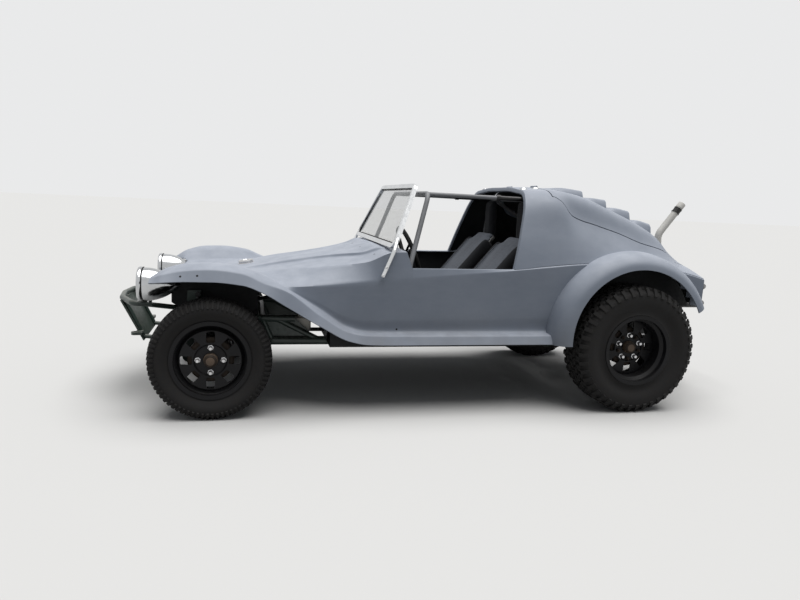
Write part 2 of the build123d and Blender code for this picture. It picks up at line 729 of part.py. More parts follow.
# Columns of the deck table: x behind the rear axle, then the height of the middle, and widths
# and heights of the inner and outer deck, the seam and the quarter's middle. The quarter's foot
# stands on the side's top edge.
deck_table = [
    (-740, 1278, 300, 1268, 440, 1242, 505, 1180, 585, 1030),
    (-455, 1297, 300, 1286, 440, 1262, 505, 1200, 585, 1040),
    (-338, 1290, 300, 1280, 440, 1252, 512, 1138, 590, 1000),
    (-177, 1262, 300, 1250, 440, 1210, 515, 1080, 595, 960),
    (-27, 1205, 300, 1195, 440, 1152, 515, 1038, 595, 940),
    (127, 1145, 300, 1135, 440, 1090, 515, 985, 590, 900),
    (298, 1066, 290, 1050, 430, 1010, 510, 940, 575, 885),
    (400, 985, 280, 960, 410, 925, 490, 870, 560, 850),
    (500, 900, 260, 880, 380, 862, 450, 845, 520, 828),
]
side_stations = []
for x in [ahead(-1063)] + [behind(row[0]) for row in deck_table]:
    top, belt = side_heights(x)
    side_stations.append((x, [(edge(76), top), (edge(70), belt)] + side_lip))

arch_centre = (behind(-3), rear_axle_z + arch_rise)
arch_cut = rod((arch_centre[0], -2 * body_half_width, arch_centre[1]),
               (arch_centre[0], 2 * body_half_width, arch_centre[1]), arch_radius)
with BuildPart() as tail_cut:
    with BuildSketch(Plane.XZ):
        with BuildLine():
            Polyline((arch_centre[0], 200), (arch_centre[0], arch_centre[1]),
                     (behind(376), 600), (behind(900), 600), (behind(900), 200), close=True)
        make_face()
    extrude(amount=2 * body_half_width, both=True)
with BuildPart() as cowl_cut:
    with BuildSketch(Plane.XZ):
        with BuildLine():
            Polyline((ahead(-1018), 930), (ahead(-1063), door_sill_z), (ahead(-1200), door_sill_z),
                     (ahead(-1200), 1100), (ahead(-1010), 1100), close=True)
        make_face()
    extrude(amount=2 * body_half_width, both=True)

# The flare: a quarter-round arch band round the rear wheel
flare_points = [
    (flare_radius, edge(76)), (flare_radius - 4, edge(30)), (flare_radius - 28, edge(-30)),
    (flare_radius - 62, edge(-62)), (arch_radius + 1, edge(-74)),
    (arch_radius + 1, edge(-74) - panel_wall), (flare_radius - 65, edge(-62) - panel_wall),
    (flare_radius - 32, edge(-30) - panel_wall), (flare_radius - 10, edge(30) - panel_wall),
    (flare_radius - panel_wall, edge(76)),
]
with BuildPart() as flare:
    with BuildSketch(Plane(origin=(arch_centre[0], 0, arch_centre[1]), x_dir=(-1, 0, 0),
                           z_dir=(0, 0, 1))):
        with BuildLine():
            Polyline(*[(-r, -y) for r, y in flare_points], close=True)
        make_face()
    revolve(axis=Axis((arch_centre[0], 0, arch_centre[1]), (0, 1, 0)), revolution_arc=-156)

lamp_recess = rod((ahead(140), lamp_y, lamp_z), (ahead(420), lamp_y, lamp_z), lamp_radius + 14)
with BuildPart() as body_tub:
    add(skin(nose_stations, panel_wall))
    add(both_sides(skin(side_stations, panel_wall)))
    add(cowl_cut.part, mode=Mode.SUBTRACT)
    add(arch_cut, mode=Mode.SUBTRACT)
    add(tail_cut.part, mode=Mode.SUBTRACT)
    add(both_sides(lamp_recess), mode=Mode.SUBTRACT)
    add(both_sides(flare.part))
save(body_tub.part, "body_tub")

# Inner fenders: upright panels between the hood and the frame, beside the front beam
inner_fender_y = 330.0
inner_fender_outline = [
    (ahead(230), 560), (ahead(230), 681.5), (ahead(100), 706.5), (ahead(0), 721.5),
    (ahead(-160), 735.5), (ahead(-238), 743.5), (ahead(-238), 530), (ahead(-200), 502),
    (ahead(150), 502),
]
with BuildPart() as inner_fender:
    with BuildSketch(Plane.XZ.offset(-inner_fender_y)):
        with BuildLine():
            Polyline(*inner_fender_outline, close=True)
        make_face()
    extrude(amount=floor_wall)
save(Compound(children=both_sides(inner_fender.part)), "inner_fenders")

# Wheel wells: shelves in from the sides' top edge and walls down inside the rear tyres
well_y = 548.0
well_foot_z = 600.0
well_stations = []
for x in (behind(-465), behind(-300), behind(-50), behind(200), behind(420), behind(480)):
    top = side_heights(x)[0]
    well_stations.append((x, [(edge(83), top - 4.6), (edge(110), top - 14), (well_y, top - 20),
                              (well_y, well_foot_z)]))
save(Compound(children=both_sides(skin(well_stations, floor_wall))), "wheel_wells")

# Hardtop, quarters and engine lid
def deck_points(row, x):
    z0, y1, z1, y2, z2, y3, z3, y4, z4 = row[1:]
    foot = (edge(76), side_heights(x)[0] + seat_gap)
    return x, [(0, z0), (y1, z1), (y2, z2), (y3, z3), (y4, z4), foot]


def deck_middle(d):
    """Height of the deck on the centre line, at a distance behind the rear axle."""
    for (d0, z0, *_), (d1, z1, *_) in zip(deck_table, deck_table[1:]):
        if d0 <= d <= d1:
            return z0 + (z1 - z0) * (d - d0) / (d1 - d0)


def stepped(points, first, second, distance):
    """A point moved from the first towards the second by a distance."""
    a = points[first]
    b = points[second]
    length = hypot(b[0] - a[0], b[1] - a[1])
    return (a[0] + (b[0] - a[0]) * distance / length, a[1] + (b[1] - a[1]) * distance / length)


roof_rear = behind(deck_table[1][0]) + lid_gap
roof_stations = [deck_points(deck_table[0], behind(deck_table[0][0])),
                 deck_points(deck_table[1], roof_rear)]
quarter_stations = []
lid_stations = []
for row in deck_table[1:]:
    x, points = deck_points(row, behind(row[0]))
    lid_stations.append((x, points[:3] + [stepped(points, 3, 2, lid_gap / 2)]))
    if row is deck_table[1]:
        x, points = deck_points(row, roof_rear + 4)
    quarter_stations.append((x, [stepped(points, 3, 4, lid_gap / 2)] + points[4:]))

with BuildPart() as pillar_cut:
    with BuildSketch(Plane.XZ):
        with BuildLine():
            Polyline((behind(-740) + 1, 700), (behind(-740) + 1, 825), (behind(-625), 1243),
                     (behind(-625), 1400), (behind(-900), 1400), (behind(-900), 700), close=True)
        make_face()
    extrude(amount=2 * body_half_width, both=True)

# Hinges on top of the seam: the roof carries the pins, the lid the outer sleeves
hinge_x = roof_rear - lid_gap / 2
hinge_y = 200.0
hinge_z = 1299.0
hinge_pin_radius = 4.0
hinge_radius = 7.5


def hinge_leaf(x, y):
    """Plate from the hinge line down onto the skin."""
    with BuildPart() as leaf:
        with BuildSketch(Plane.XZ.offset(-y - 20)):
            with BuildLine():
                Polyline((hinge_x, hinge_z + 4), (x, 1296), (x, 1283), (hinge_x, hinge_z - 4),
                         close=True)
            make_face()
        extrude(amount=40)
    return leaf.part


with BuildPart() as hinge_pin:
    add(hinge_leaf(hinge_x + 46, hinge_y - 20.3))
    add(rod((hinge_x, hinge_y - 40.3, hinge_z), (hinge_x, hinge_y - 0.3, hinge_z), hinge_radius))
    add(rod((hinge_x, hinge_y - 10, hinge_z), (hinge_x, hinge_y + 38, hinge_z), hinge_pin_radius))
with BuildPart() as hardtop:
    add(skin(roof_stations, panel_wall))
    add(both_sides(skin(quarter_stations, panel_wall)))
    add(pillar_cut.part, mode=Mode.SUBTRACT)
    add(both_sides(hinge_pin.part))
save(hardtop.part, "hardtop")

# Louvre steps on the lid. Columns: x of the front and the rear edge behind the rear axle,
# and the height of each
louvre_half = 300.0
louvre_table = [
    (-350, -165, 1300, 1288),
    (-150, 5, 1247, 1239),
    (25, 180, 1191, 1175),
    (200, 345, 1118, 1098),
]
with BuildPart() as hinge_sleeve:
    add(hinge_leaf(hinge_x - 46, hinge_y + 20.3))
    add(rod((hinge_x, hinge_y + 0.3, hinge_z), (hinge_x, hinge_y + 40.3, hinge_z), hinge_radius))
hinge_bore = rod((hinge_x, hinge_y - 5, hinge_z), (hinge_x, hinge_y + 50, hinge_z),
                 hinge_pin_radius + pin_clearance)
with BuildPart() as engine_lid:
    add(skin(lid_stations, panel_wall))
    add(both_sides(hinge_sleeve.part))
    add(both_sides(hinge_bore), mode=Mode.SUBTRACT)
    for start, finish, high, low in louvre_table:
        with BuildSketch(Plane.XZ.offset(-louvre_half)):
            with BuildLine():
                Polyline((behind(start), high - 14), (behind(start + 40), high),
                         (behind(finish), low), (behind(finish), low - 55),
                         (behind(start + 20), high - 50), close=True)
            make_face()
        extrude(amount=2 * louvre_half)
    for start, finish, high, low in louvre_table:
        drop = (high - low) / (finish - start - 40)
        with BuildSketch(Plane.XZ.offset(-louvre_half + panel_wall)):
            with BuildLine():
                Polyline((behind(start + 60), high - 20 * drop - panel_wall),
                         (behind(finish + 5), low - panel_wall),
                         (behind(finish + 5), deck_middle(finish) + 1),
                         (behind(finish - 35), deck_middle(finish - 35) + 1),
                         (behind(finish - 35), high - 150), (behind(start + 60), high - 150),
                         close=True)
            make_face()
        extrude(amount=2 * louvre_half - 2 * panel_wall, mode=Mode.SUBTRACT)
save(engine_lid.part, "engine_lid")

# Windshield: a raked light-alloy frame bolted down both cowl sides
screen_base = Vector(ahead(-956), 0, screen_base_z)
screen_top = Vector(ahead(-1108), 0, screen_top_z)
screen_up = (screen_top - screen_base).normalized()
screen_height = (screen_top - screen_base).length
screen_plane = Plane(origin=screen_base, x_dir=(0, 1, 0), z_dir=Vector(0, 1, 0).cross(screen_up))
leg_radius = 11.0
leg_foot = Vector(ahead(-894), edge(62), 763)


def screen_slab(inset, depth):
    """Slab of the windshield's outline, drawn in by an inset all round."""
    with BuildPart() as slab:
        with BuildSketch(screen_plane.offset(-depth / 2)) as face:
            with BuildLine():
                Polyline((-screen_base_half, 0), (screen_base_half, 0),
                         (screen_top_half, screen_height), (-screen_top_half, screen_height),
                         close=True)
            make_face()
            fillet(face.vertices().group_by(Axis.Z)[-1], radius=50)
            offset(amount=-inset, mode=Mode.REPLACE)
        extrude(amount=depth)
    return slab.part


with BuildPart() as windshield_frame:
    add(screen_slab(0, screen_depth))
    add(screen_slab(screen_bar, screen_depth + 2), mode=Mode.SUBTRACT)
    for side in (1, -1):
        post = screen_base + screen_up * 70 + Vector(0, side * (screen_base_half - 46.5), 0)
        corner = screen_base + Vector(0, side * (screen_base_half + 6), -6)
        add(tube([tuple(post), tuple(corner), (leg_foot.X, side * leg_foot.Y, leg_foot.Z)],
                 leg_radius, 30))
save(windshield_frame.part, "windshield_frame")
save(screen_slab(screen_bar + seat_gap, glass_wall), "windshield_glass")

# Roll cage: front hoop, roof rails, main hoop behind the seats and stays to the tail
hoop_foot_z = floor_z + floor_wall + 0.3
main_x = behind(-505)
stay_x = behind(505)
with BuildPart() as roll_cage:
    add(tube([(ahead(-1060), 600, hoop_foot_z), (ahead(-1060), 600, 824),
              (ahead(-1185), 457, 1222), (ahead(-1185), -457, 1222),
              (ahead(-1060), -600, 824), (ahead(-1060), -600, hoop_foot_z)], cage_radius, 70))
    add(tube([(main_x, 560, hoop_foot_z), (main_x, 560, 830),
              (main_x, 425, 1215), (main_x, -425, 1215),
              (main_x, -560, 830), (main_x, -560, hoop_foot_z)], cage_radius, 70))
    for side in (1, -1):
        add(rod((ahead(-1185), side * 412, 1220), (main_x, side * 398, 1215), brace_radius))
        add(rod((main_x, side * 370, 1215), (stay_x, side * 340, 640), brace_radius))
        add(rod((stay_x, side * 340, 500), (stay_x, side * 340, 800), 16 + seat_gap),
            mode=Mode.SUBTRACT)
save(roll_cage.part, "roll_cage")

# Seats: low reclined buckets with tall headrests, each one closed soft form
recline = radians(seat_recline)
back_foot = (behind(-1026), 470)
headrest_x = behind(-573)


def up_back(along, out):
    """Point of the seat's side view: along the back from its foot, and out from its line."""
    return (back_foot[0] - along * sin(recline) + out * cos(recline),
            back_foot[1] + along * cos(recline) + out * sin(recline))


for hand, side in (("left", 1), ("right", -1)):
    with BuildPart() as seat:
        with BuildSketch(Plane.XZ.offset(-side * seat_y - seat_width / 2)):
            with BuildLine():
                Polyline(up_back(0, 15), up_back(seat_back_length, 0), up_back(seat_back_length, -60),
                         up_back(60, -110), (back_foot[0] - 60, hoop_foot_z),
                         (back_foot[0] + 420, hoop_foot_z), (back_foot[0] + 430, 520), close=True)
            make_face()
        extrude(amount=seat_width)
        with BuildSketch(Plane.XZ.offset(-side * seat_y - headrest_width / 2)):
            with BuildLine():
                Polyline((headrest_x, 925), (headrest_x, headrest_top_z - 12),
                         (headrest_x - 12, headrest_top_z), (headrest_x - headrest_depth, headrest_top_z),
                         (headrest_x - headrest_depth, 925), close=True)
            make_face()
        extrude(amount=headrest_width)
    save(seat.part, f"seat_{hand}")

# Dashboard, gear and brake levers
dash_x = ahead(-1010)
with BuildPart() as dashboard:
    with BuildSketch(Plane.YZ.offset(dash_x)):
        with BuildLine():
            Polyline((-632, 740), (632, 740), (632, 890.2), (0, 902.8), (-632, 890.2), close=True)
        make_face()
    extrude(amount=-14)
    add(rod(wheel_centre, wheel_centre - column_axis * 300, column_radius + seat_gap),
        mode=Mode.SUBTRACT)
save(dashboard.part, "dashboard")

lever_base_z = floor_z + tunnel_height + floor_wall + seat_gap
with BuildPart() as levers:
    with BuildSketch(Plane.XY.offset(lever_base_z)):
        with Locations((behind(-1340), 0)):
            Circle(32)
        with Locations((behind(-1130), 0)):
            RectangleRounded(90, 34, 8)
    extrude(amount=22)
    add(tube([(behind(-1340), 0, lever_base_z + 10), (behind(-1325), 0, lever_base_z + 120),
              (behind(-1270), 0, lever_base_z + 260)], 7, 60))
    add(rod((behind(-1130), 0, lever_base_z + 14), (behind(-960), 0, lever_base_z + 60), 11))
with BuildPart() as shift_knob:
    with Locations((behind(-1270), 0, lever_base_z + 262)):
        Sphere(22)
with BuildPart() as lever_set:
    add(levers.part)
    add(shift_knob.part)
save(lever_set.part, "levers")

# Front bumper: one bowed tube under the lamps on two arms from the beam, and a skid plate
bumper_z = 560.0
bumper_radius = 16.0
bumper_reach = 530.0
tow_eye_radius = 11.0
tow_eye_z = 370.0
tow_eye_depth = 16.0
with BuildPart() as front_bumper:
    add(tube([(ahead(327), 365, bumper_z), (ahead(424), 378, bumper_z),
              (ahead(512), 172, bumper_z), (ahead(bumper_reach), 0, bumper_z),
              (ahead(512), -172, bumper_z), (ahead(424), -378, bumper_z),
              (ahead(327), -365, bumper_z)], bumper_radius, 40))
    for side in (1, -1):
        add(tube([(ahead(beam_ahead), side * 270, beam_high_z + beam_tube_radius + 8),
                  (ahead(beam_ahead + 60), side * 280, bumper_z - 40),
                  (ahead(400), side * 372, bumper_z)], 14, 40))
        add(rod((ahead(beam_ahead + 20), side * 200, beam_low_z + 40),
                (ahead(395), side * 200, 340), 12))
        add(rod((ahead(395), side * 200, 340), (ahead(500), side * 200, bumper_z), 12))
    with BuildSketch(Plane.XZ.offset(-230)):
        with BuildLine():
            Polyline((ahead(bumper_reach - 24), bumper_z - 8), (ahead(bumper_reach - 14), bumper_z - 8),
                     (ahead(396), 320), (ahead(390), 322), close=True)
        make_face()
    extrude(amount=460)
    for z in (beam_low_z, beam_high_z):
        add(rod((beam_x, -500, z), (beam_x, 500, z), beam_tube_radius + seat_gap),
            mode=Mode.SUBTRACT)
    for side in (1, -1):
        with BuildSketch(Plane.XY.offset(tow_eye_z - tow_eye_depth / 2)):
            with Locations((ahead(414), side * 248)):
                Rectangle(36, 66)
            with Locations((ahead(432), side * 260)):
                Circle(tow_eye_radius + 12)
                Circle(tow_eye_radius, mode=Mode.SUBTRACT)
        extrude(amount=tow_eye_depth)
save(front_bumper.part, "front_bumper")

# Rear bumper: two bent tubes round the engine, held by the cage stays, with a towing tongue
tow_tongue = 12.0
with BuildPart() as rear_bumper:
    for z in (690, 575):
        add(tube([(behind(500), 340, z), (behind(740), 330, z), (behind(820), 250, z),
                  (behind(820), -250, z), (behind(740), -330, z), (behind(500), -340, z)], 19, 40))
    for side in (1, -1):
        add(rod((behind(820), side * 200, 575), (behind(820), side * 200, 690), 16))
        add(rod((stay_x, side * 340, 560), (stay_x, side * 340, 706), 16))
    with BuildSketch(Plane.XY.offset(575 - tow_tongue / 2)):
        with Locations((behind(845), 0)):
            RectangleRounded(62, 60, 20)
        with Locations((behind(853), 0)):
            Circle(tow_eye_radius, mode=Mode.SUBTRACT)
    extrude(amount=tow_tongue)
save(rear_bumper.part, "rear_bumper")

# Headlamps: chrome bullet shells facing forward, and their lenses
lamp_front = ahead(383)
lamp_length = 213.0
with BuildPart() as lamp:
    with BuildSketch(Plane(origin=(lamp_front, lamp_y, lamp_z), z_dir=(0, -1, 0),
                           x_dir=(-1, 0, 0))):
        with BuildLine():
            Line((0, 0), (0, lamp_radius))
            Line((0, lamp_radius), (22, lamp_radius))
            ThreePointArc((22, lamp_radius), (0.68 * lamp_length, 0.66 * lamp_radius),
                          (lamp_length, 0))
            Line((lamp_length, 0), (0, 0))
        make_face()
    revolve(axis=Axis((lamp_front, lamp_y, lamp_z), (-1, 0, 0)))
    add(rod((lamp_front + 1, lamp_y, lamp_z), (lamp_front - 40, lamp_y, lamp_z), lamp_radius - 6),
        mode=Mode.SUBTRACT)
    add(rod((lamp_front - 40, lamp_y, lamp_z), (lamp_front - 40, 367, bumper_z), 12))
    add(rod((ahead(327 - 97), 352, bumper_z), (ahead(424), 378, bumper_z),
            bumper_radius + seat_gap), mode=Mode.SUBTRACT)
save(Compound(children=both_sides(lamp.part)), "headlamps")

lens = rod((lamp_front - 1, lamp_y, lamp_z), (lamp_front - 9, lamp_y, lamp_z),
           lamp_radius - 6 - seat_gap)
save(Compound(children=both_sides(lens)), "headlamp_lenses")

# Tail lamps between the rear bumper's tubes
with BuildPart() as tail_lamp:
    add(rod((behind(700), 275, 632), (behind(745), 275, 632), 38))
    add(rod((behind(704), 275, 632), (behind(704), 332, 632), 6))
    add(rod((behind(704), 332, 594.5), (behind(704), 332, 670.5), 8))
save(Compound(children=both_sides(tail_lamp.part)), "tail_lamps")

# Fuel cap, square to the sloping hood
with BuildPart() as fuel_cap:
    with BuildSketch(Plane(origin=(ahead(-170), 0, 754.3), x_dir=(0, 1, 0), z_dir=(0.16, 0, 1))):
        Circle(40)
    extrude(amount=34)
save(fuel_cap.part, "fuel_cap")
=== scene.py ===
import json
from math import cos, hypot, pi, radians, sin

import bmesh
import bpy
from mathutils import Matrix, Vector
from mathutils.bvhtree import BVHTree


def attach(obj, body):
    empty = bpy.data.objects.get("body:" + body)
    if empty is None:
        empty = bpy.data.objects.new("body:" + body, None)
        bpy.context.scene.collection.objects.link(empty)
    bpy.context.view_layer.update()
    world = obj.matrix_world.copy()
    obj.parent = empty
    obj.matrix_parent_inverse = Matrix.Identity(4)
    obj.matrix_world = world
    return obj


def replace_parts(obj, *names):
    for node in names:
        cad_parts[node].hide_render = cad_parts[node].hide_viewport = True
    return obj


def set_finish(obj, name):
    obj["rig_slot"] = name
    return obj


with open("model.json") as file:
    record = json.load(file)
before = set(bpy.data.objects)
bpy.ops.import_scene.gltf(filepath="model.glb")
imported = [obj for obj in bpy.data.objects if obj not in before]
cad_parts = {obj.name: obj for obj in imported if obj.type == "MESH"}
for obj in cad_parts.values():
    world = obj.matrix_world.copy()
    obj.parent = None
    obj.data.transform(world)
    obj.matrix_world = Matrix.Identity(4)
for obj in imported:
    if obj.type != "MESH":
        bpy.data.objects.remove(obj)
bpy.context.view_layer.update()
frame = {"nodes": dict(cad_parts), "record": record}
nodes = frame["nodes"]
scene = bpy.context.scene

# Driving values of the CAD, in metres
FRONT_X = 1.347
REAR_X = -1.053
HALF = 0.730
FRONT_R = 0.3145
REAR_R = 0.3735
WALL = 0.006
SIDES = (1, -1)
DOWN = Vector((0, 0, -1))


def ahead(mm):
    return FRONT_X + mm / 1000


def behind(mm):
    return REAR_X - mm / 1000


def pairs(*values):
    """Points of two numbers in metres, from a row of numbers in millimetres."""
    return [(a / 1000, b / 1000) for a, b in zip(values[::2], values[1::2])]


# Material nodes
def material(name):
    mat = bpy.data.materials.new(name)
    mat.use_nodes = True
    return mat, mat.node_tree, mat.node_tree.nodes["Principled BSDF"]


def connect(tree, node, sockets):
    """Sets each socket to a value, or links it from another node's output."""
    for name, value in sockets.items():
        if isinstance(value, bpy.types.NodeSocket):
            tree.links.new(value, node.inputs[name])
        else:
            node.inputs[name].default_value = value


def add(tree, kind, out, sockets, **settings):
    node = tree.nodes.new("ShaderNode" + kind)
    for name, value in settings.items():
        setattr(node, name, value)
    connect(tree, node, sockets)
    return node.outputs[out]


def noise(tree, scale, detail=4.0, rough=0.55, stretch=None):
    """Noise over the object's own coordinates, in metres."""
    place = add(tree, "TexCoord", "Object", {})
    if stretch:
        place = add(tree, "Mapping", "Vector", {"Scale": stretch, "Vector": place})
    return add(tree, "TexNoise", "Fac",
               {"Scale": scale, "Detail": detail, "Roughness": rough, "Vector": place})


def ramp(tree, fac, stops):
    node = tree.nodes.new("ShaderNodeValToRGB")
    while len(node.color_ramp.elements) < len(stops):
        node.color_ramp.elements.new(0.5)
    for element, (place, colour) in zip(node.color_ramp.elements, stops):
        element.position = place
        element.color = (*colour, 1.0)
    tree.links.new(fac, node.inputs["Fac"])
    return node.outputs["Color"]


def values(tree, fac, low, high):
    """Spreads the middle of a noise over a range."""
    return add(tree, "MapRange", "Result",
               {"From Min": 0.3, "From Max": 0.7, "To Min": low, "To Max": high, "Value": fac})


def mixed(tree, fac, first, second):
    node = tree.nodes.new("ShaderNodeMix")
    node.data_type = "RGBA"
    tree.links.new(fac, node.inputs["Factor"])
    colours = [socket for socket in node.inputs if socket.type == "RGBA"]
    for slot, source in zip(colours, (first, second)):
        if isinstance(source, tuple):
            slot.default_value = (*source, 1.0)
        else:
            tree.links.new(source, slot)
    return [socket for socket in node.outputs if socket.type == "RGBA"][0]


def bump(tree, bsdf, height, strength, distance):
    normal = add(tree, "Bump", "Normal", {"Strength": strength, "Distance": distance, "Height": height})
    tree.links.new(normal, bsdf.inputs["Normal"])


def facing_up(tree, low, high):
    """From 0 to 1 as the surface turns up to the sky."""
    normal = add(tree, "NewGeometry", "Normal", {})
    up = add(tree, "SeparateXYZ", "Z", {"Vector": normal})
    return add(tree, "MapRange", "Result", {"From Min": low, "From Max": high, "Value": up})


def multiply(tree, first, second):
    return add(tree, "Math", "Value", {0: first, 1: second}, operation="MULTIPLY")


def scaled(colour, factor):
    return tuple(min(1.0, channel * factor) for channel in colour)


# Materials
def paint(name, colour, rough=(0.45, 0.6), spots=0.10, dust=0.35, shine=0.5):
    """Painted surface: cloudy colour, fine orange peel, dust on top."""
    mat, tree, bsdf = material(name)
    fine = noise(tree, 60.0, 6.0)
    base = ramp(tree, noise(tree, 5.0, 5.0),
                [(0.35, scaled(colour, 1 - spots)), (0.65, scaled(colour, 1 + spots))])
    mask = multiply(tree, facing_up(tree, 0.2, 1.0), values(tree, fine, 0.0, dust))
    connect(tree, bsdf, {"Base Color": mixed(tree, mask, base, (0.30, 0.275, 0.24)),
                         "Roughness": values(tree, fine, *rough), "Specular IOR Level": shine})
    bump(tree, bsdf, noise(tree, 900.0, 2.0), 0.35, 0.0004)
    return mat


def metal(name, colour, rough=(0.2, 0.4), stretch=None, rust=0.0):
    mat, tree, bsdf = material(name)
    grain = noise(tree, 90.0, 8.0, stretch=stretch)
    base = ramp(tree, noise(tree, 9.0, 5.0), [(0.35, scaled(colour, 0.85)), (0.65, colour)])
    if rust:
        spots = values(tree, noise(tree, 45.0, 7.0, 0.7), -0.2, rust)
        base = mixed(tree, spots, base, (0.16, 0.075, 0.035))
    connect(tree, bsdf, {"Base Color": base, "Roughness": values(tree, grain, *rough), "Metallic": 1.0})
    bump(tree, bsdf, grain, 0.15, 0.0003)
    return mat


def body_primer():
    """Flat grey primer: cloudy sanding marks, a painted sky light that makes the surfaces facing up lighter
    and bluer, and a darker, greyer tone towards the low edges.
    """
    mat, tree, bsdf = material("body_primer")
    sanding = noise(tree, 26.0, 6.0, 0.65, stretch=(0.35, 1.0, 1.0))
    base = ramp(tree, noise(tree, 2.6, 6.0, 0.6),
                [(0.3, (0.176, 0.203, 0.252)), (0.5, (0.197, 0.225, 0.276)), (0.7, (0.220, 0.249, 0.302))])
    worn = mixed(tree, values(tree, sanding, 0.0, 0.3), base, (0.258, 0.286, 0.336))
    # Surfaces that face up are painted lighter and bluer in cloudy patches: painted sky light.
    sky = multiply(tree, facing_up(tree, 0.3, 1.0), values(tree, noise(tree, 11.0, 6.0), 0.4, 0.75))
    painted_sky_light = mixed(tree, sky, worn, (0.440, 0.468, 0.530))
    # Darker, greyer tone towards the bottom of the body, from 0.62 m down to 0.40 m.
    height = add(tree, "SeparateXYZ", "Z", {"Vector": add(tree, "TexCoord", "Object", {})})
    low = add(tree, "MapRange", "Result", {"From Min": 0.62, "From Max": 0.40, "Value": height})
    low_darkening = multiply(tree, low, values(tree, noise(tree, 7.0, 6.0, 0.7), 0.0, 0.5))
    connect(tree, bsdf, {"Base Color": mixed(tree, low_darkening, painted_sky_light, (0.185, 0.190, 0.200)),
                         "Roughness": values(tree, sanding, 0.42, 0.62), "Specular IOR Level": 0.28})
    bump(tree, bsdf, noise(tree, 700.0, 3.0), 0.3, 0.0003)
    return mat


def rubber(name, colour, dust):
    mat, tree, bsdf = material(name)
    fine = noise(tree, 35.0, 7.0, 0.65)
    base = ramp(tree, noise(tree, 8.0, 5.0), [(0.3, scaled(colour, 0.8)), (0.7, colour)])
    connect(tree, bsdf, {
        "Base Color": mixed(tree, values(tree, fine, 0.0, dust), base, (0.085, 0.078, 0.068)),
        "Roughness": values(tree, fine, 0.62, 0.85), "Specular IOR Level": 0.2})
    bump(tree, bsdf, noise(tree, 420.0, 4.0), 0.35, 0.0005)
    return mat


def cloth(name, colour, scale=900.0):
    """Woven seat cloth: crossed threads and a soft sheen."""
    mat, tree, bsdf = material(name)
    place = add(tree, "TexCoord", "Object", {})
    sockets = {"Scale": scale / 6, "Distortion": 1.5, "Detail Scale": 4.0, "Vector": place}
    threads = [add(tree, "TexWave", "Fac", sockets, bands_direction=way) for way in "XZ"]
    weave = multiply(tree, *threads)
    base = ramp(tree, noise(tree, 7.0, 6.0), [(0.3, scaled(colour, 0.7)), (0.7, colour)])
    connect(tree, bsdf, {"Base Color": mixed(tree, weave, base, scaled(colour, 1.5)),
                         "Roughness": 0.9, "Sheen Weight": 0.04, "Specular IOR Level": 0.18})
    bump(tree, bsdf, weave, 0.4, 0.0006)
    return mat


def clear(name, colour, rough, alpha):
    mat, tree, bsdf = material(name)
    smear = values(tree, noise(tree, 6.0, 6.0, 0.7), rough, rough + 0.06)
    connect(tree, bsdf, {"Base Color": (*colour, 1.0), "Roughness": smear, "IOR": 1.5, "Alpha": alpha,
                         "Specular IOR Level": 0.6})
    bump(tree, bsdf, noise(tree, 14.0, 3.0), 0.05, 0.0004)
    return mat


def lens_red():
    mat, tree, bsdf = material("red_plastic")
    base = ramp(tree, noise(tree, 30.0), [(0.3, (0.25, 0.008, 0.006)), (0.7, (0.36, 0.012, 0.008))])
    connect(tree, bsdf, {"Base Color": base, "Roughness": 0.16, "Coat Weight": 0.5})
    bump(tree, bsdf, noise(tree, 240.0, 2.0), 0.3, 0.0006)
    return mat


primer = body_primer()
wheel_black = paint("wheel_black", (0.006, 0.006, 0.007), (0.38, 0.55), 0.3, 0.03, 0.2)
tyre_black = rubber("tyre_black", (0.011, 0.011, 0.012), 0.16)
seal_black = rubber("seal_black", (0.012, 0.012, 0.012), 0.05)
chassis_green = paint("chassis_green", (0.020, 0.036, 0.030), (0.28, 0.5), 0.35, 0.45)
under_black = paint("under_black", (0.010, 0.011, 0.012), (0.5, 0.75), 0.3, 0.15, 0.2)
cage_grey = paint("cage_grey", (0.185, 0.192, 0.205), (0.4, 0.6), 0.15, 0.2)
satin_black = paint("satin_black", (0.010, 0.010, 0.011), (0.28, 0.45), 0.3, 0.1, 0.35)
pipe_white = paint("pipe_white", (0.62, 0.61, 0.58), (0.4, 0.6), 0.08, 0.2)
alloy = metal("alloy", (0.74, 0.75, 0.76), (0.24, 0.42), stretch=(1.0, 0.15, 1.0))
cast_alloy = metal("cast_alloy", (0.34, 0.34, 0.34), (0.45, 0.65))
dark_steel = metal("dark_steel", (0.16, 0.155, 0.15), (0.4, 0.6), rust=0.5)
plated = metal("plated", (0.62, 0.62, 0.63))
drum_rust = paint("drum_rust", (0.022, 0.016, 0.012), (0.6, 0.8), 0.4, 0.1, 0.2)
cap_brown = paint("cap_brown", (0.075, 0.052, 0.036), (0.45, 0.65), 0.35, 0.15, 0.4)
chrome = metal("chrome", (0.56, 0.57, 0.58), (0.08, 0.2))
screen_glass = clear("screen_glass", (0.36, 0.38, 0.38), 0.03, 0.30)
lamp_glass = clear("lamp_glass", (0.85, 0.88, 0.9), 0.05, 0.3)
seat_cloth = cloth("seat_cloth", (0.016, 0.017, 0.020))
# Lighter copy of the seat cloth for the seat's lit faces: painted light.
seat_face_painted_light = cloth("seat_face_painted_light", (0.130, 0.142, 0.165), 700.0)
dash_black = rubber("dash_black", (0.014, 0.014, 0.015), 0.05)
grip_black = rubber("grip_black", (0.010, 0.010, 0.010), 0.03)
reservoir_plastic = paint("reservoir_plastic", (0.62, 0.60, 0.54), (0.35, 0.5), 0.06, 0.2)
red_plastic = lens_red()

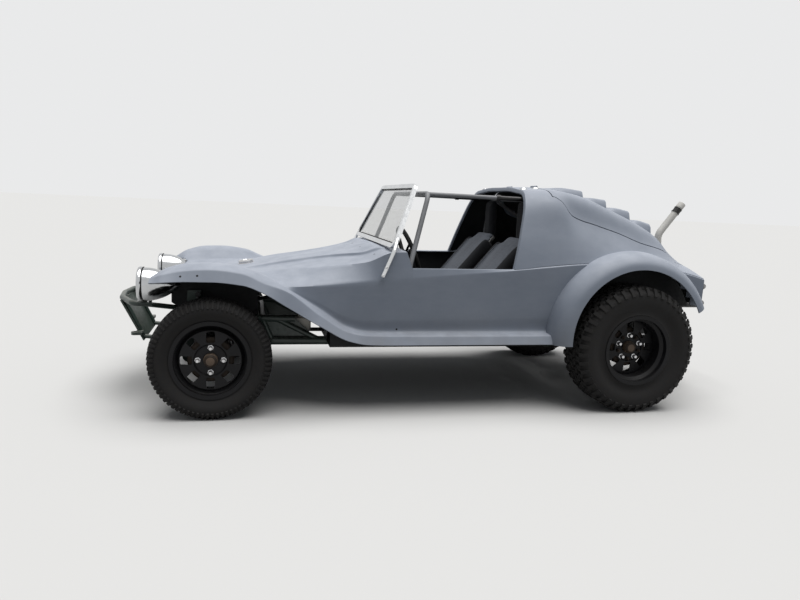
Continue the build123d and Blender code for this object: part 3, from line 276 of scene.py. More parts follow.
slot_materials = {
    "tyre_rubber": tyre_black, "wheel_paint": wheel_black, "drum_iron": drum_rust,
    "body_paint": primer, "frame_alloy": alloy, "screen_glass": screen_glass,
    "chassis_paint": chassis_green, "forged_steel": dark_steel, "link_steel": plated,
    "gear_alloy": cast_alloy, "wheel_trim": grip_black, "column_paint": satin_black,
    "shock_paint": satin_black, "pan_paint": under_black, "engine_alloy": cast_alloy,
    "exhaust_paint": pipe_white, "cage_paint": cage_grey, "seat_cloth": seat_cloth,
    "dash_board": dash_black, "lever_steel": dark_steel, "bumper_paint": satin_black,
    "lamp_chrome": chrome, "lamp_glass": lamp_glass, "red_lens": red_plastic,
    "cap_chrome": plated, "reservoir_plastic": reservoir_plastic,
}
for entry in frame["record"]["subparts"]:
    node_mesh = nodes[entry["node"]].data
    node_mesh.materials.clear()
    node_mesh.materials.append(slot_materials[entry["material_slot"]])


# Mesh helpers
def edited(obj, change):
    """Makes a change to the object's mesh as a bmesh."""
    work = bmesh.new()
    work.from_mesh(obj.data)
    change(work)
    work.to_mesh(obj.data)
    work.free()


def square_normals(work):
    bmesh.ops.recalc_face_normals(work, faces=work.faces)


def linked(name, mesh):
    obj = bpy.data.objects.new(name, mesh)
    scene.collection.objects.link(obj)
    return obj


def from_work(name, work):
    """New object from a bmesh, which is freed."""
    mesh = bpy.data.meshes.new(name)
    work.to_mesh(mesh)
    work.free()
    return linked(name, mesh)


def smoothed(obj, angle):
    for polygon in obj.data.polygons:
        polygon.use_smooth = True
    obj.data.set_sharp_from_angle(angle=radians(angle))
    return obj


def finish_piece(obj, mat, body="chassis", slot=None, smooth=35.0):
    obj.data.materials.clear()
    obj.data.materials.append(mat)
    edited(obj, square_normals)
    if smooth:
        smoothed(obj, smooth)
    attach(obj, body)
    if slot:
        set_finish(obj, slot)
    return obj


def make(name, verts, faces, mat, body="chassis", slot=None, smooth=35.0):
    mesh = bpy.data.meshes.new(name)
    mesh.from_pydata([tuple(v) for v in verts], [], faces)
    mesh.validate()
    return finish_piece(linked(name, mesh), mat, body, slot, smooth)


def applied(obj):
    """The object with its modifiers applied to its mesh."""
    graph = bpy.context.evaluated_depsgraph_get()
    mesh = bpy.data.meshes.new_from_object(obj.evaluated_get(graph))
    obj.modifiers.clear()
    obj.data = mesh
    return obj


def walled(obj, thickness):
    obj.modifiers.new("wall", "SOLIDIFY").thickness = thickness
    return applied(obj)


def grid_faces(rows, columns, closed=False):
    faces = []
    for i in range(rows - 1):
        for j in range(columns if closed else columns - 1):
            k = (j + 1) % columns
            faces.append((i * columns + j, i * columns + k, (i + 1) * columns + k, (i + 1) * columns + j))
    return faces


def ring_faces(rings, count):
    """Faces between closed outlines that follow each other round a closed ring."""
    faces = []
    for i in range(rings):
        j = (i + 1) % rings
        for k in range(count):
            m = (k + 1) % count
            faces.append((i * count + k, i * count + m, j * count + m, j * count + k))
    return faces


def turned(name, profile, centre, axis, mat, body="chassis", slot=None, steps=48, smooth=35.0):
    """Solid of revolution: profile of (radius, along) points round an axis through centre."""
    axis = Vector(axis).normalized()
    side = axis.orthogonal().normalized()
    other = axis.cross(side)
    verts = []
    for i in range(steps):
        angle = 2 * pi * i / steps
        ray = side * cos(angle) + other * sin(angle)
        verts += [Vector(centre) + ray * radius + axis * along for radius, along in profile]
    obj = make(name, verts, ring_faces(steps, len(profile)), mat, body, slot, smooth)

    def weld(work):
        bmesh.ops.remove_doubles(work, verts=work.verts, dist=1e-6)
        square_normals(work)

    edited(obj, weld)
    return obj


def bar(name, points, radius, mat, slot=None, sides=12, bend=0.0):
    """Round bar along points, its corners bent by a bezier of the given reach."""
    route = [Vector(p) for p in points]
    if bend:
        bent = [route[0]]
        for a, b, c in zip(route, route[1:], route[2:]):
            start = b + (a - b).normalized() * min(bend, (b - a).length * 0.48)
            stop = b + (c - b).normalized() * min(bend, (c - b).length * 0.48)
            for i in range(9):
                t = i / 8
                bent.append(start * (1 - t) ** 2 + b * 2 * t * (1 - t) + stop * t * t)
        route = bent + [route[-1]]
    verts = []
    normal = (route[1] - route[0]).orthogonal().normalized()
    for i, point in enumerate(route):
        direction = (route[min(i + 1, len(route) - 1)] - route[max(i - 1, 0)]).normalized()
        normal = (normal - direction * normal.dot(direction)).normalized()
        other = direction.cross(normal)
        for k in range(sides):
            angle = 2 * pi * k / sides
            verts.append(point + (normal * cos(angle) + other * sin(angle)) * radius)
    faces = grid_faces(len(route), sides, closed=True)
    faces.append(tuple(range(sides)))
    faces.append(tuple((len(route) - 1) * sides + k for k in range(sides)))
    return make(name, verts, faces, mat, slot=slot)


def joined(name, objs):
    """Several pieces of one body as one piece, with the first one's materials and slot."""
    keep = objs[0]
    work = bmesh.new()
    for obj in objs:
        work.from_mesh(obj.data)
    work.to_mesh(keep.data)
    work.free()
    for obj in objs[1:]:
        bpy.data.objects.remove(obj)
    keep.name = name
    return keep


# Smooth lines over the car's length
def slopes(xs, ys):
    """Slopes that keep a cubic line free of overshoot."""
    steps = [(b - a) / (v - u) for a, b, u, v in zip(ys, ys[1:], xs, xs[1:])]
    out = [steps[0]]
    for a, b, u, v, w in zip(steps, steps[1:], xs, xs[1:], xs[2:]):
        if a * b <= 0:
            out.append(0.0)
        else:
            h, k = v - u, w - v
            out.append((h + k) * 3 / ((2 * k + h) / a + (2 * h + k) / b))
    return out + [steps[-1]]


def cubic(a, m0, b, m1, t):
    """Point between a and b, which the line leaves and meets with the slopes m0 and m1."""
    return (a * (2 * t ** 3 - 3 * t ** 2 + 1) + m0 * (t ** 3 - 2 * t ** 2 + t)
            + b * (3 * t ** 2 - 2 * t ** 3) + m1 * (t ** 3 - t ** 2))


def line(xs, ys):
    """Function of x through the given values."""
    xs, ys = zip(*sorted(zip(xs, ys), key=lambda pair: pair[0]))
    m = slopes(xs, ys)

    def at(x):
        x = min(max(x, xs[0]), xs[-1])
        i = max(j for j in range(len(xs) - 1) if x >= xs[j])
        h = xs[i + 1] - xs[i]
        return cubic(ys[i], m[i] * h, ys[i + 1], m[i + 1] * h, (x - xs[i]) / h)
    return at


SHARP_REACH = 0.006


def section(points, sharp, steps):
    """Points along a section. It runs smoothly through the given points and turns at sharp ones."""
    count = len(points)
    points = [Vector(p) for p in points]
    tangents = [None] * count
    for i in range(1, count - 1):
        if i not in sharp:
            a, b, c = points[i - 1:i + 2]
            u, v = (b - a).length, (c - b).length
            tangents[i] = ((b - a) / u * v + (c - b) / v * u) / (u + v)
    out = []
    for i in range(count - 1):
        a, b = points[i], points[i + 1]
        length = (b - a).length
        m0, m1 = tangents[i], tangents[i + 1]
        flat = (b - a) / length
        if m0 is None:
            m0 = flat * 1.5 - m1 * 0.5 if m1 is not None else flat
        if m1 is None:
            m1 = flat * 1.5 - m0 * 0.5 if tangents[i] is not None else flat
        places = [j / steps for j in range(steps + 1)]
        near = min(SHARP_REACH / length, 0.3 / steps)
        if i in sharp:
            places[0] = near
        if i + 1 in sharp:
            places[-1] = 1 - near
        elif i < count - 2:
            places.pop()
        out += [cubic(a, m0 * length, b, m1 * length, t) for t in places]
    return out


# Body shells
def skin(name, xs, section_at, body="chassis"):
    """Sheet through sections along x. A section that starts at the middle is mirrored to both sides."""
    verts = []
    columns = None
    for x in xs:
        run = section_at(x)
        if run[0][0] == 0:
            run = [(-y, z) for y, z in run[:0:-1]] + list(run)
        columns = len(run)
        verts += [(x, y, z) for y, z in run]
    return make(name, verts, grid_faces(len(xs), columns), primer, body, "body_paint", smooth=None)


def thicken(obj, wall=WALL, lining=under_black):
    """Gives a sheet its wall, on the inner side, and a lining there."""
    solid = obj.modifiers.new("wall", "SOLIDIFY")
    solid.thickness = wall
    solid.offset = -1.0
    solid.use_even_offset = False
    if lining is not None:
        obj.data.materials.append(lining)
        solid.material_offset = 1
        solid.material_offset_rim = 0
    return smoothed(applied(obj), 40.0)


def outward(obj, y, z, x=None):
    """Turns every face away from a point, or from a line along x."""
    def turn(work):
        square_normals(work)
        total = 0.0
        for face in work.faces:
            middle = face.calc_center_median()
            start = Vector((middle.x if x is None else x, y, z))
            total += face.normal.dot(middle - start) * face.calc_area()
        if total < 0:
            bmesh.ops.reverse_faces(work, faces=work.faces)

    edited(obj, turn)


def trimmed(obj, point, normal):
    """Cuts away what lies on the normal's side of a plane."""
    def cut(work):
        bmesh.ops.bisect_plane(work, geom=work.verts[:] + work.edges[:] + work.faces[:],
                               plane_co=point, plane_no=normal, clear_outer=True)

    edited(obj, cut)


def flip_side(obj):
    for vert in obj.data.vertices:
        vert.co.y = -vert.co.y


def spread(start, stop, step):
    """Evenly spaced values, about a step apart."""
    count = max(2, int(round(abs(stop - start) / step)) + 1)
    return [start + (stop - start) * i / (count - 1) for i in range(count)]


def smooth(t):
    """From 0 to 1, level at both ends."""
    t = min(max(t, 0.0), 1.0)
    return t * t * (3 - 2 * t)


# Body skin: the same stations as the CAD, run through smoothly
nose_table = [
    (300, 560, 300, 590, 330, 650, 250, 690, 170, 730, 90, 728, 50, 712),
    (230, 655, 330, 690, 330, 720, 250, 758, 140, 777, 35, 757, 2, 722),
    (100, 705, 370, 715, 310, 730, 240, 785, 130, 808, 30, 783, 0, 728),
    (0, 728, 390, 730, 300, 735, 230, 792, 130, 811, 30, 788, 0, 728),
    (-160, 752, 410, 742, 280, 738, 210, 778, 125, 793, 30, 769, 0, 713),
    (-260, 768, 425, 752, 230, 735, 190, 750, 110, 752, 30, 724, 0, 676),
    (-380, 787, 440, 768, 88, 698, 76, 694, 52, 690, 28, 682, 0, 606),
    (-560, 818, 500, 790, 86, 709, 78, 585, 56, 572, 28, 553, 0, 501),
    (-720, 848, 560, 815, 82, 724, 78, 482, 56, 474, 26, 462, 0, 420),
    (-820, 872, 600, 835, 78, 733, 78, 458, 50, 452, 24, 446, 0, 401),
    (-950, 906, 640, 893, 75, 746, 78, 454, 50, 449, 24, 443, 0, 398),
    (-1063, 912, 642, 900, 72, 757, 78, 454, 50, 449, 24, 443, 0, 398),
]
side_table = [
    (ahead(-1063), 812, 757), (behind(-740), 818, 811), (behind(-550), 840, 830),
    (behind(-300), 862, 853), (behind(-50), 868, 860), (behind(200), 848, 840),
    (behind(420), 808, 800), (behind(500), 786, 778),
]
deck_table = [
    (-740, 1278, 300, 1268, 440, 1242, 505, 1180, 585, 1030),
    (-455, 1297, 300, 1286, 432, 1264, 476, 1240, 585, 1040),
    (-405, 1296, 300, 1285, 436, 1259, 492, 1214, 587, 1027),
    (-338, 1290, 300, 1280, 440, 1252, 514, 1130, 590, 1000),
    (-177, 1262, 300, 1250, 440, 1210, 515, 1080, 595, 960),
    (-27, 1205, 300, 1195, 440, 1152, 515, 1038, 595, 940),
    (127, 1145, 300, 1135, 440, 1090, 515, 985, 590, 900),
    (298, 1066, 290, 1050, 430, 1010, 510, 940, 575, 885),
    (400, 985, 280, 960, 410, 925, 490, 870, 560, 850),
    (500, 900, 260, 880, 380, 862, 450, 845, 520, 828),
]
nose_x = [ahead(row[0]) for row in nose_table]
side_x = [row[0] for row in side_table]
belt_x = nose_x[:-1] + side_x


def nose_line(index, start=0, turn=1):
    """Line along the nose through one column of its table."""
    return line(nose_x, [start + turn * row[index] / 1000 for row in nose_table])


hood_mid = nose_line(1)
hood_crease = nose_line(2), nose_line(3)
belt_y = line(belt_x, [HALF - row[4] / 1000 for row in nose_table[:-1]] + [HALF - 0.070] * len(side_table))
belt_z = line(belt_x, [row[5] / 1000 for row in nose_table[:-1]] + [row[2] / 1000 for row in side_table])
low_lines = [(nose_line(i, HALF, -1), nose_line(i + 1)) for i in (6, 8, 10, 12)]
side_top = line(side_x, [row[1] / 1000 for row in side_table])
ridge_line = line([1.20, 1.068, 0.815, 0.70, 0.60, 0.534, 0.36],
                  [0.238, 0.241, 0.233, 0.262, 0.325, 0.385, 0.450])


def ridge_lift(x, y):
    """Height of the raised centre panel, highest at its edge."""
    high = 0.016 * smooth((ahead(-90) - x) / 0.30) * smooth((x - 0.36) / 0.10)
    edge = ridge_line(x)
    if y <= edge:
        return high * (0.45 + 0.55 * 2.718 ** (-((edge - y) / 0.030) ** 2))
    return high * (1 - smooth((y - edge) / 0.015))


def hood_top(x):
    """Points over the hood from its centre to its side crease."""
    mid, crease_y, crease_z = hood_mid(x), hood_crease[0](x), hood_crease[1](x)
    edge = ridge_line(x)
    places = [(edge - 0.045) * k / 4 for k in range(5)]
    places += [edge + step for step in (-0.032, -0.022, -0.013, -0.006, 0.0, 0.003, 0.007, 0.011, 0.016)]
    start = edge + 0.016
    places += [start + (crease_y - 0.005 - start) * k / 5 for k in range(1, 6)]
    return [(y, mid + (crease_z - mid) * (y / crease_y) ** 2 + ridge_lift(x, y)) for y in places]


FLAT_SHARE = 0.76


def side_points(x):
    """Belt, end of the flat side and the fillet under it. The fillet stays the same behind the nose."""
    belt = Vector((belt_y(x), belt_z(x)))
    lows = [Vector((y(x), z(x))) for y, z in low_lines]
    return [belt, belt + (lows[0] - belt) * FLAT_SHARE] + lows


def nose_section(x):
    crease = (hood_crease[0](x), hood_crease[1](x))
    return hood_top(x) + section([crease] + side_points(x), {1, 5}, 8)


def side_section(x):
    inner = [(HALF - 0.105, side_top(x) - 0.004), (HALF - 0.080, side_top(x))]
    return section(inner + side_points(x), {1, 2, 6}, 6)


ARCH = Vector((behind(-3), 0, REAR_R + 0.055))
LAMP_X = ahead(383)
LAMP_Y = 0.411
LAMP_Z = 0.670
hood = skin("body_nose", spread(nose_x[0], nose_x[-1], 0.016), nose_section)
cowl_low = Vector((ahead(-1063), 0, 0.806))
cowl = Vector((ahead(-1018), 0, 0.930)) - cowl_low
trimmed(hood, cowl_low, Vector((-cowl.z, 0, cowl.x)))
outward(hood, 0, 0.4)
thicken(hood)
bucket = pairs(0, 140, 93.5, 140, 93.5, -22)
bucket += [(0.0935 * (1 - (k / 12) ** 2.5) + 0.002, -0.022 - 0.195 * k / 12) for k in range(1, 13)]
bucket.append((0, -0.219))
recesses = [turned("recess", bucket, (LAMP_X, side * LAMP_Y, LAMP_Z), (1, 0, 0), primer, steps=64)
            for side in SIDES]
for recess in recesses:
    cut = hood.modifiers.new("cut", "BOOLEAN")
    cut.operation = "DIFFERENCE"
    cut.solver = "EXACT"
    cut.object = recess
applied(hood)
for recess in recesses:
    bpy.data.objects.remove(recess)


def open_arch(work):
    """Deletes the faces of a side that lie in the wheel arch or under the flare."""
    hidden = []
    for face in work.faces:
        c = face.calc_center_median()
        reach = hypot(c.x - ARCH.x, c.z - ARCH.z)
        if reach < 0.47 or (c.x < ARCH.x and c.z < 0.62) or (reach < 0.5 and abs(c.y) > HALF - 0.07):
            hidden.append(face)
    bmesh.ops.delete(work, geom=hidden, context="FACES")


side_pieces = [hood]
for side in SIDES:
    panel = skin(f"body_side_{side}", spread(nose_x[-1], behind(500), 0.016), side_section)
    if side < 0:
        flip_side(panel)
    edited(panel, open_arch)
    outward(panel, side * 0.3, 0.6)
    side_pieces.append(thicken(panel))

flare_profile = section([(0.500, HALF - 0.150), (0.515, HALF - 0.078), (0.509, HALF - 0.035),
                         (0.488, HALF + 0.026), (0.455, HALF + 0.061), (0.4175, HALF + 0.0738)], {1}, 7)
FLARE_STEPS = 80
for side in SIDES:
    verts = []
    for i in range(FLARE_STEPS + 1):
        angle = radians(-4 + 160 * i / FLARE_STEPS)
        verts += [(ARCH.x + cos(angle) * p.x, side * p.y, ARCH.z + sin(angle) * p.x) for p in flare_profile]
    flare = make(f"flare_{side}", verts, grid_faces(FLARE_STEPS + 1, len(flare_profile)), primer,
                 slot="body_paint", smooth=None)
    outward(flare, side * 0.4, ARCH.z, ARCH.x)
    side_pieces.append(thicken(flare))
body_skin = joined("body_skin", side_pieces)
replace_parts(body_skin, "body_tub")

# Hardtop and engine lid
deck_x = [behind(row[0]) for row in deck_table]
deck_lines = [line(deck_x, [row[i] / 1000 for row in deck_table]) for i in range(1, 10)]


def full_section(x):
    """Half of the hardtop and lid, from the middle down to the body's side."""
    numbers = [0.0] + [at(x) for at in deck_lines] + [HALF - 0.076, side_top(x)]
    return section(list(zip(numbers[::2], numbers[1::2])), set(), 8)


# Point of the section where the lid and the quarter meet, and what each keeps from it
SEAM = 24
GAP = 0.0035


def lid_section(x):
    run = full_section(x)[:SEAM + 1]
    run[-1] = run[-1] + (run[-2] - run[-1]).normalized() * GAP
    return run


def quarter_section(x):
    run = full_section(x)[SEAM:]
    run[0] = run[0] + (run[1] - run[0]).normalized() * GAP
    return run


roof_rear = behind(-455) + 0.007
roof = skin("roof", spread(deck_x[0], roof_rear, 0.015), full_section)
pillar_low = Vector((behind(-740) + 0.001, 0, 0.825))
pillar = Vector((behind(-625), 0, 1.243)) - pillar_low
opening = Vector((pillar.z, 0, -pillar.x))
trimmed(roof, pillar_low, opening)
opening.normalize()
outward(roof, 0, 0.9)
top_pieces = [thicken(roof)]


def opening_point(j):
    """Where the roof's line j meets the plane of the cab opening."""
    near, far = -0.300, -0.620
    for _ in range(40):
        x = (near + far) / 2
        p = full_section(x)[j]
        if (Vector((x, p.x, p.y)) - pillar_low).dot(opening) > 0:
            near = x
        else:
            far = x
    p = full_section(near)[j]
    return Vector((near, p.x, p.y))


edge = [opening_point(j) for j in range(len(full_section(-0.5)))]
edge = [Vector((p.x, -p.y, p.z)) for p in edge[:0:-1]] + edge
verts = []
for back, here, on in zip([edge[0]] + edge[:-1], edge, edge[1:] + [edge[-1]]):
    inward = (on - back).cross(opening).normalized()
    if inward.dot(Vector((-0.35, 0, 0.95)) - here) < 0:
        inward = -inward
    for reach, deep in pairs(0, 0.5, 4, -1.5, 22, -1.5, 26, 4, 26, 12):
        verts.append(here + inward * reach - opening * deep)
flange = make("flange", verts, grid_faces(len(edge), 5), primer, smooth=None)
top_pieces.append(thicken(flange, 0.003, None))
for side in SIDES:
    quarter = skin(f"quarter_{side}", spread(roof_rear + 0.0005, deck_x[-1], 0.015), quarter_section)
    if side < 0:
        flip_side(quarter)
    outward(quarter, side * 0.2, 0.8)
    top_pieces.append(thicken(quarter))
gutter_x = spread(roof_rear - 0.004, deck_x[-1] + 0.002, 0.015)
for side in SIDES:
    verts = []
    for x in gutter_x:
        run = full_section(x)
        way = (run[SEAM + 1] - run[SEAM - 1]).normalized()
        inward = Vector((-way.y, way.x))
        if inward.y > 0:
            inward = -inward
        for over, deep in pairs(-16, 10, -12, 12.5, 4, 12.5, 12, 7):
            p = run[SEAM] + way * over + inward * deep
            verts.append((x, side * p.x, p.y))
    gutter = make(f"gutter_{side}", verts, grid_faces(len(gutter_x), 4), seal_black, smooth=None)
    top_pieces.append(walled(gutter, 0.002))
HINGE_X = roof_rear - GAP
HINGE_Z = 1.299


def hinge_parts(name, y, body):
    """Short tubes of the lid's hinges, one on each side of the car."""
    tube = pairs(0, -20, 7.2, -20, 7.2, 20, 0, 20)
    return [turned(f"{name}_{side}", tube, (HINGE_X, side * y, HINGE_Z), (0, 1, 0), plated, body, steps=20)
            for side in SIDES]


hardtop = joined("hardtop_skin", top_pieces + hinge_parts("hinge", 0.180, "chassis"))
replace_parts(hardtop, "hardtop")

lid = skin("lid", spread(deck_x[1], deck_x[-1], 0.015), lid_section, "engine_lid")
outward(lid, 0, 0.8)
thicken(lid)
louvre_table = [
    (-350, -165, 1300, 1288),
    (-150, 5, 1247, 1239),
    (25, 180, 1191, 1175),
    (200, 345, 1118, 1098),
]
LOUVRE_HALF = 0.300
LOUVRE_ROWS = 14
LOUVRE_COLUMNS = 40
MOUTH_STEPS = 20


def deck_height(x, y):
    """Height of the lid's skin, without its louvres."""
    run = full_section(x)
    y = abs(y)
    for p, q in zip(run, run[1:]):
        if p.x <= y <= q.x:
            return p.y + (q.y - p.y) * (y - p.x) / (q.x - p.x)
    return run[-1].y


lid_pieces = [lid]
for start, finish, high, low in louvre_table:
    verts = []
    top = line([behind(start), behind(start + 45), behind(finish)],
               [(high - 16) / 1000, high / 1000, low / 1000])
    for i in range(LOUVRE_ROWS + 1):
        x = behind(start) + (behind(finish) - behind(start)) * i / LOUVRE_ROWS
        shoulder = (1 - (1 - min(1.0, i / 3)) ** 2) ** 0.5
        for j in range(LOUVRE_COLUMNS + 1):
            y = LOUVRE_HALF * (2 * j / LOUVRE_COLUMNS - 1)
            base = deck_height(x, y)
            lift = (1 - (1 - min(1.0, (LOUVRE_HALF - abs(y)) / 0.045)) ** 2) ** 0.5
            verts.append((x, y, base + max(0.0, top(x) - base) * lift * shoulder + 0.0005))
    louvre = make(f"louvre_{start}", verts, grid_faces(LOUVRE_ROWS + 1, LOUVRE_COLUMNS + 1), primer,
                  "engine_lid", "body_paint", smooth=None)
    outward(louvre, 0, 0.6)
    lid_pieces.append(thicken(louvre, 0.004, None))
lid_skin = joined("lid_skin", lid_pieces + hinge_parts("sleeve", 0.2205, "engine_lid"))
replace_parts(lid_skin, "engine_lid")
# Black strips close the louvres' openings: painted shade where the lid's dark inside would show.
mouth_shades = []
for start, finish, high, low in louvre_table:
    x = behind(finish) + 0.004
    verts = []
    for j in range(MOUTH_STEPS + 1):
        y = (LOUVRE_HALF - 0.03) * (2 * j / MOUTH_STEPS - 1)
        base = deck_height(x, y)
        verts += [(x, y, base + 0.002), (x, y, max(base + 0.004, low / 1000 - 0.008))]
    mouth_shades.append(make(f"mouth_{start}", verts, grid_faces(MOUTH_STEPS + 1, 2), seal_black, "engine_lid",
                       "body_paint"))
joined("louvre_mouth_shades", mouth_shades)


# Tyres
def from_first(first, faces):
    """Faces of a small part whose points start at first."""
    return [tuple(first + v for v in face) for face in faces]


def tyre(node, x, y, outer, half, half_tread, bead, blocks, block_height, body):
    """Carcass with rounded shoulders and sidewall ribs, and rows of tread blocks."""
    z = outer
    base = outer - block_height
    lip = 0.2075
    bulge = outer - 0.42 * (outer - 0.1905)
    side = [(0.1912, bead), (lip + 0.002, bead + 0.006), (lip + 0.012, half - 0.020), (bulge, half),
            (base - 0.022, half_tread + 0.020), (base - 0.004, half_tread - 0.004)]
    curve = section(side, {1}, 6)
    profile = curve + [(base, half_tread * k / 4) for k in (3, 2, 1, 0, -1, -2, -3)]
    profile += [(r, -w) for r, w in reversed(curve)]
    profile += [(0.1912, -bead + 0.012), (bulge, -half + 0.012), (base - 0.012, -half_tread),
                (base - 0.012, half_tread), (bulge, half - 0.012), (0.1912, bead - 0.012)]
    name = node + "_piece"
    carcass = turned(name, profile, (x, y, z), (0, 1, 0), tyre_black, body, "tyre_rubber", steps=96)
    verts = []
    faces = []
    pitches, columns = blocks
    pitch = 2 * pi / pitches
    wide = half_tread / columns * 0.84
    for i in range(pitches):
        for c in range(columns):
            middle = -half_tread + (2 * half_tread) * (c + 0.5) / columns
            long = 0.33 if c in (0, columns - 1) else 0.40
            turn = 2 * pi * (i + (0.5 if c % 2 else 0.0)) / pitches
            skew = 0.10 * pitch * (1 if c % 2 else -1)
            outline = [(a * pitch + skew * b, b * wide) for a, b in (
                (-long, -1), (-long * 0.5, -0.72), (long * 0.2, -1), (long, -0.85),
                (long, 0.85), (long * 0.3, 1), (-long * 0.4, 0.75), (-long, 1))]
            n = len(outline)
            faces += from_first(len(verts), grid_faces(3, n, closed=True) + [tuple(range(2 * n, 3 * n))])
            for level, shrink in ((base - 0.004, 1.0), (outer - 0.0025, 0.97), (outer, 0.90)):
                for round_on, across in outline:
                    angle = turn + round_on * shrink
                    w = middle + across * shrink
                    r = level - max(0.0, abs(w) - half_tread * 0.82) * 0.25
                    verts.append((x + cos(angle) * r, y + w, z + sin(angle) * r))
        for sign in SIDES:
            turn = 2 * pi * (i + (0.5 if sign > 0 else 0.0)) / pitches
            faces += from_first(len(verts), grid_faces(3, 4) + [(8, 9, 10, 11)])
            for level, w in ((outer - 0.004, half_tread * 0.97), (base - 0.010, half_tread + 0.016),
                             (base - 0.034, half_tread + 0.029)):
                for a, push in ((-0.24, -0.004), (-0.2, 0.003), (0.2, 0.003), (0.24, -0.004)):
                    angle = turn + a * pitch
                    r = level + push * 0.7
                    verts.append((x + cos(angle) * r, y + sign * (w + push), z + sin(angle) * r))
    tread = make(name + "_tread", verts, faces, tyre_black, body, "tyre_rubber", smooth=25.0)
    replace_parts(joined(name, [carcass, tread]), node)


HANDS = (("left", 1), ("right", -1))
for hand, side in HANDS:
    tyre(f"tyre_front_{hand}", FRONT_X, side * 0.625, FRONT_R, 0.1005, 0.075, 0.0685, (72, 6), 0.004,
         f"wheel_front_{hand}")
    tyre(f"tyre_rear_{hand}", REAR_X, side * 0.693, REAR_R, 0.120, 0.095, 0.0985, (44, 5), 0.013,
         f"wheel_rear_{hand}")

# Lug nuts and hub caps
nut = pairs(0, 0, 15.625, 0, 15.625, 3, 12.5, 4, 12.5, 19.5, 8.75, 26, 0, 26)
hub_cap = pairs(0, 30, 24, 30, 33, 24, 36.5, 4, 36.5, 0, 36.8, 0, 36.8, 4, 34, 26, 26, 33.5, 20, 36.5,
                0, 37.2)
for end, x, z, face, circle, count in (("front", FRONT_X, FRONT_R, 0.678, 0.065, 4),
                                       ("rear", REAR_X, REAR_R, 0.695, 0.070, 5)):
    for hand, side in HANDS:
        body = f"wheel_{end}_{hand}"
        nuts = []
        for i in range(count):
            angle = radians(90 + 360 * i / count)
            centre = (x + side * cos(angle) * circle, side * (face + 0.0005), z + sin(angle) * circle)
            nuts.append(turned(f"nut_{i}", nut, centre, (0, side, 0), plated, body, "link_steel", 6, None))
        joined(f"nuts_{end}_{hand}", nuts)
        turned(f"cap_{end}_{hand}", hub_cap, (x, side * face, z), (0, side, 0), cap_brown, body,
               "drum_iron", 40)

# Dark sheets fill the frame's side trusses behind the front axle, standing in for the shade inside the frame
# (painted shade), with a row of rivets
RAIL_LOW = 0.345
RAIL_HIGH = 0.475
SHEET_Y = 0.345
SHEET_WALL = 0.002
truss_corners = [(ahead(-330), RAIL_LOW), (ahead(-270), RAIL_HIGH), (ahead(-450), RAIL_HIGH),
                 (ahead(-590), RAIL_LOW)]
shade_sheets = []
for side in SIDES:
    verts = [(x, side * SHEET_Y, z) for x, z in truss_corners]
    sheet = make(f"truss_shade_sheet_{side}", verts, [(0, 1, 2, 3)], chassis_green, smooth=None)
    shade_sheets.append(walled(sheet, SHEET_WALL))
    for k in range(5):
        place = (ahead(-355 - 45 * k), side * (SHEET_Y + SHEET_WALL), (RAIL_LOW + RAIL_HIGH) / 2)
        shade_sheets.append(turned(f"truss_rivet_{side}_{k}", pairs(0, 0, 4, 0, 3, 2.5, 0, 3.2), place,
                             (0, side, 0), dark_steel, steps=12))
joined("truss_shade_sheets", shade_sheets)

# Seats: padded buckets in a thin shell, one shape mirrored for the other side
RECLINE = radians(40.4)
SEAT_Y = 0.285


def slab(work, centre, along, half, radius, crown=0.0, cuts=13):
    """Adds a rounded block to a bmesh: half sizes along, across the car and out."""
    along = Vector(along).normalized()
    across = Vector((0, 1, 0))
    out = along.cross(across)
    new = bmesh.ops.create_cube(work, size=2.0)["verts"]
    edges = list({edge for vert in new for edge in vert.link_edges})
    bmesh.ops.subdivide_edges(work, edges=edges, cuts=cuts, use_grid_fill=True)
    work.verts.ensure_lookup_table()
    untouched = [vert for vert in work.verts if not vert.tag]
    for vert in untouched:
        vert.tag = True
        p = [vert.co[k] * half[k] for k in range(3)]
        core = [max(min(p[k], half[k] - radius), radius - half[k]) for k in range(3)]
        off = Vector([p[k] - core[k] for k in range(3)])
        off = off.normalized() * radius if off.length > 1e-9 else off
        a, b, c = [core[k] + off[k] for k in range(3)]
        c += crown * (1 - (a / half[0]) ** 2) * (1 - (b / half[1]) ** 2) * (1 if c > 0 else 0)
        vert.co = Vector(centre) + along * a + across * b + out * c


def stuffed(obj, voxel, pressure, cap):
    """Skins joined pads as one cover and lets pressure fill it, its seams held."""
    remesh = obj.modifiers.new("skin", "REMESH")
    remesh.mode = "VOXEL"
    remesh.voxel_size = voxel
    remesh.adaptivity = 0.0
    applied(obj)
    rest = [vert.co.copy() for vert in obj.data.vertices]
    held = obj.vertex_groups.new(name="held")
    work = bmesh.new()
    work.from_mesh(obj.data)
    for vert in work.verts:
        curve = sum((edge.other_vert(vert).co - vert.co).dot(vert.normal) for edge in vert.link_edges)
        if curve > 0.0035:
            held.add([vert.index], 1.0, "REPLACE")
    work.free()
    sim = obj.modifiers.new("cover", "CLOTH")
    for name, value in {"quality": 4, "use_pressure": True, "uniform_pressure_force": pressure,
                        "vertex_group_mass": "held", "pin_stiffness": 0.6, "tension_stiffness": 12,
                        "compression_stiffness": 12, "bending_stiffness": 0.6}.items():
        setattr(sim.settings, name, value)
    sim.settings.effector_weights.gravity = 0.0
    sim.collision_settings.use_collision = False
    for number in range(1, 17):
        scene.frame_set(number)
    applied(obj)
    scene.frame_set(1)
    obj.vertex_groups.clear()
    for vert, old in zip(obj.data.vertices, rest):
        move = vert.co - old
        if move.length > cap:
            vert.co = old + move.normalized() * cap
    fine = obj.modifiers.new("fine", "SUBSURF")
    fine.levels = 1
    fine.render_levels = 1
    applied(obj)


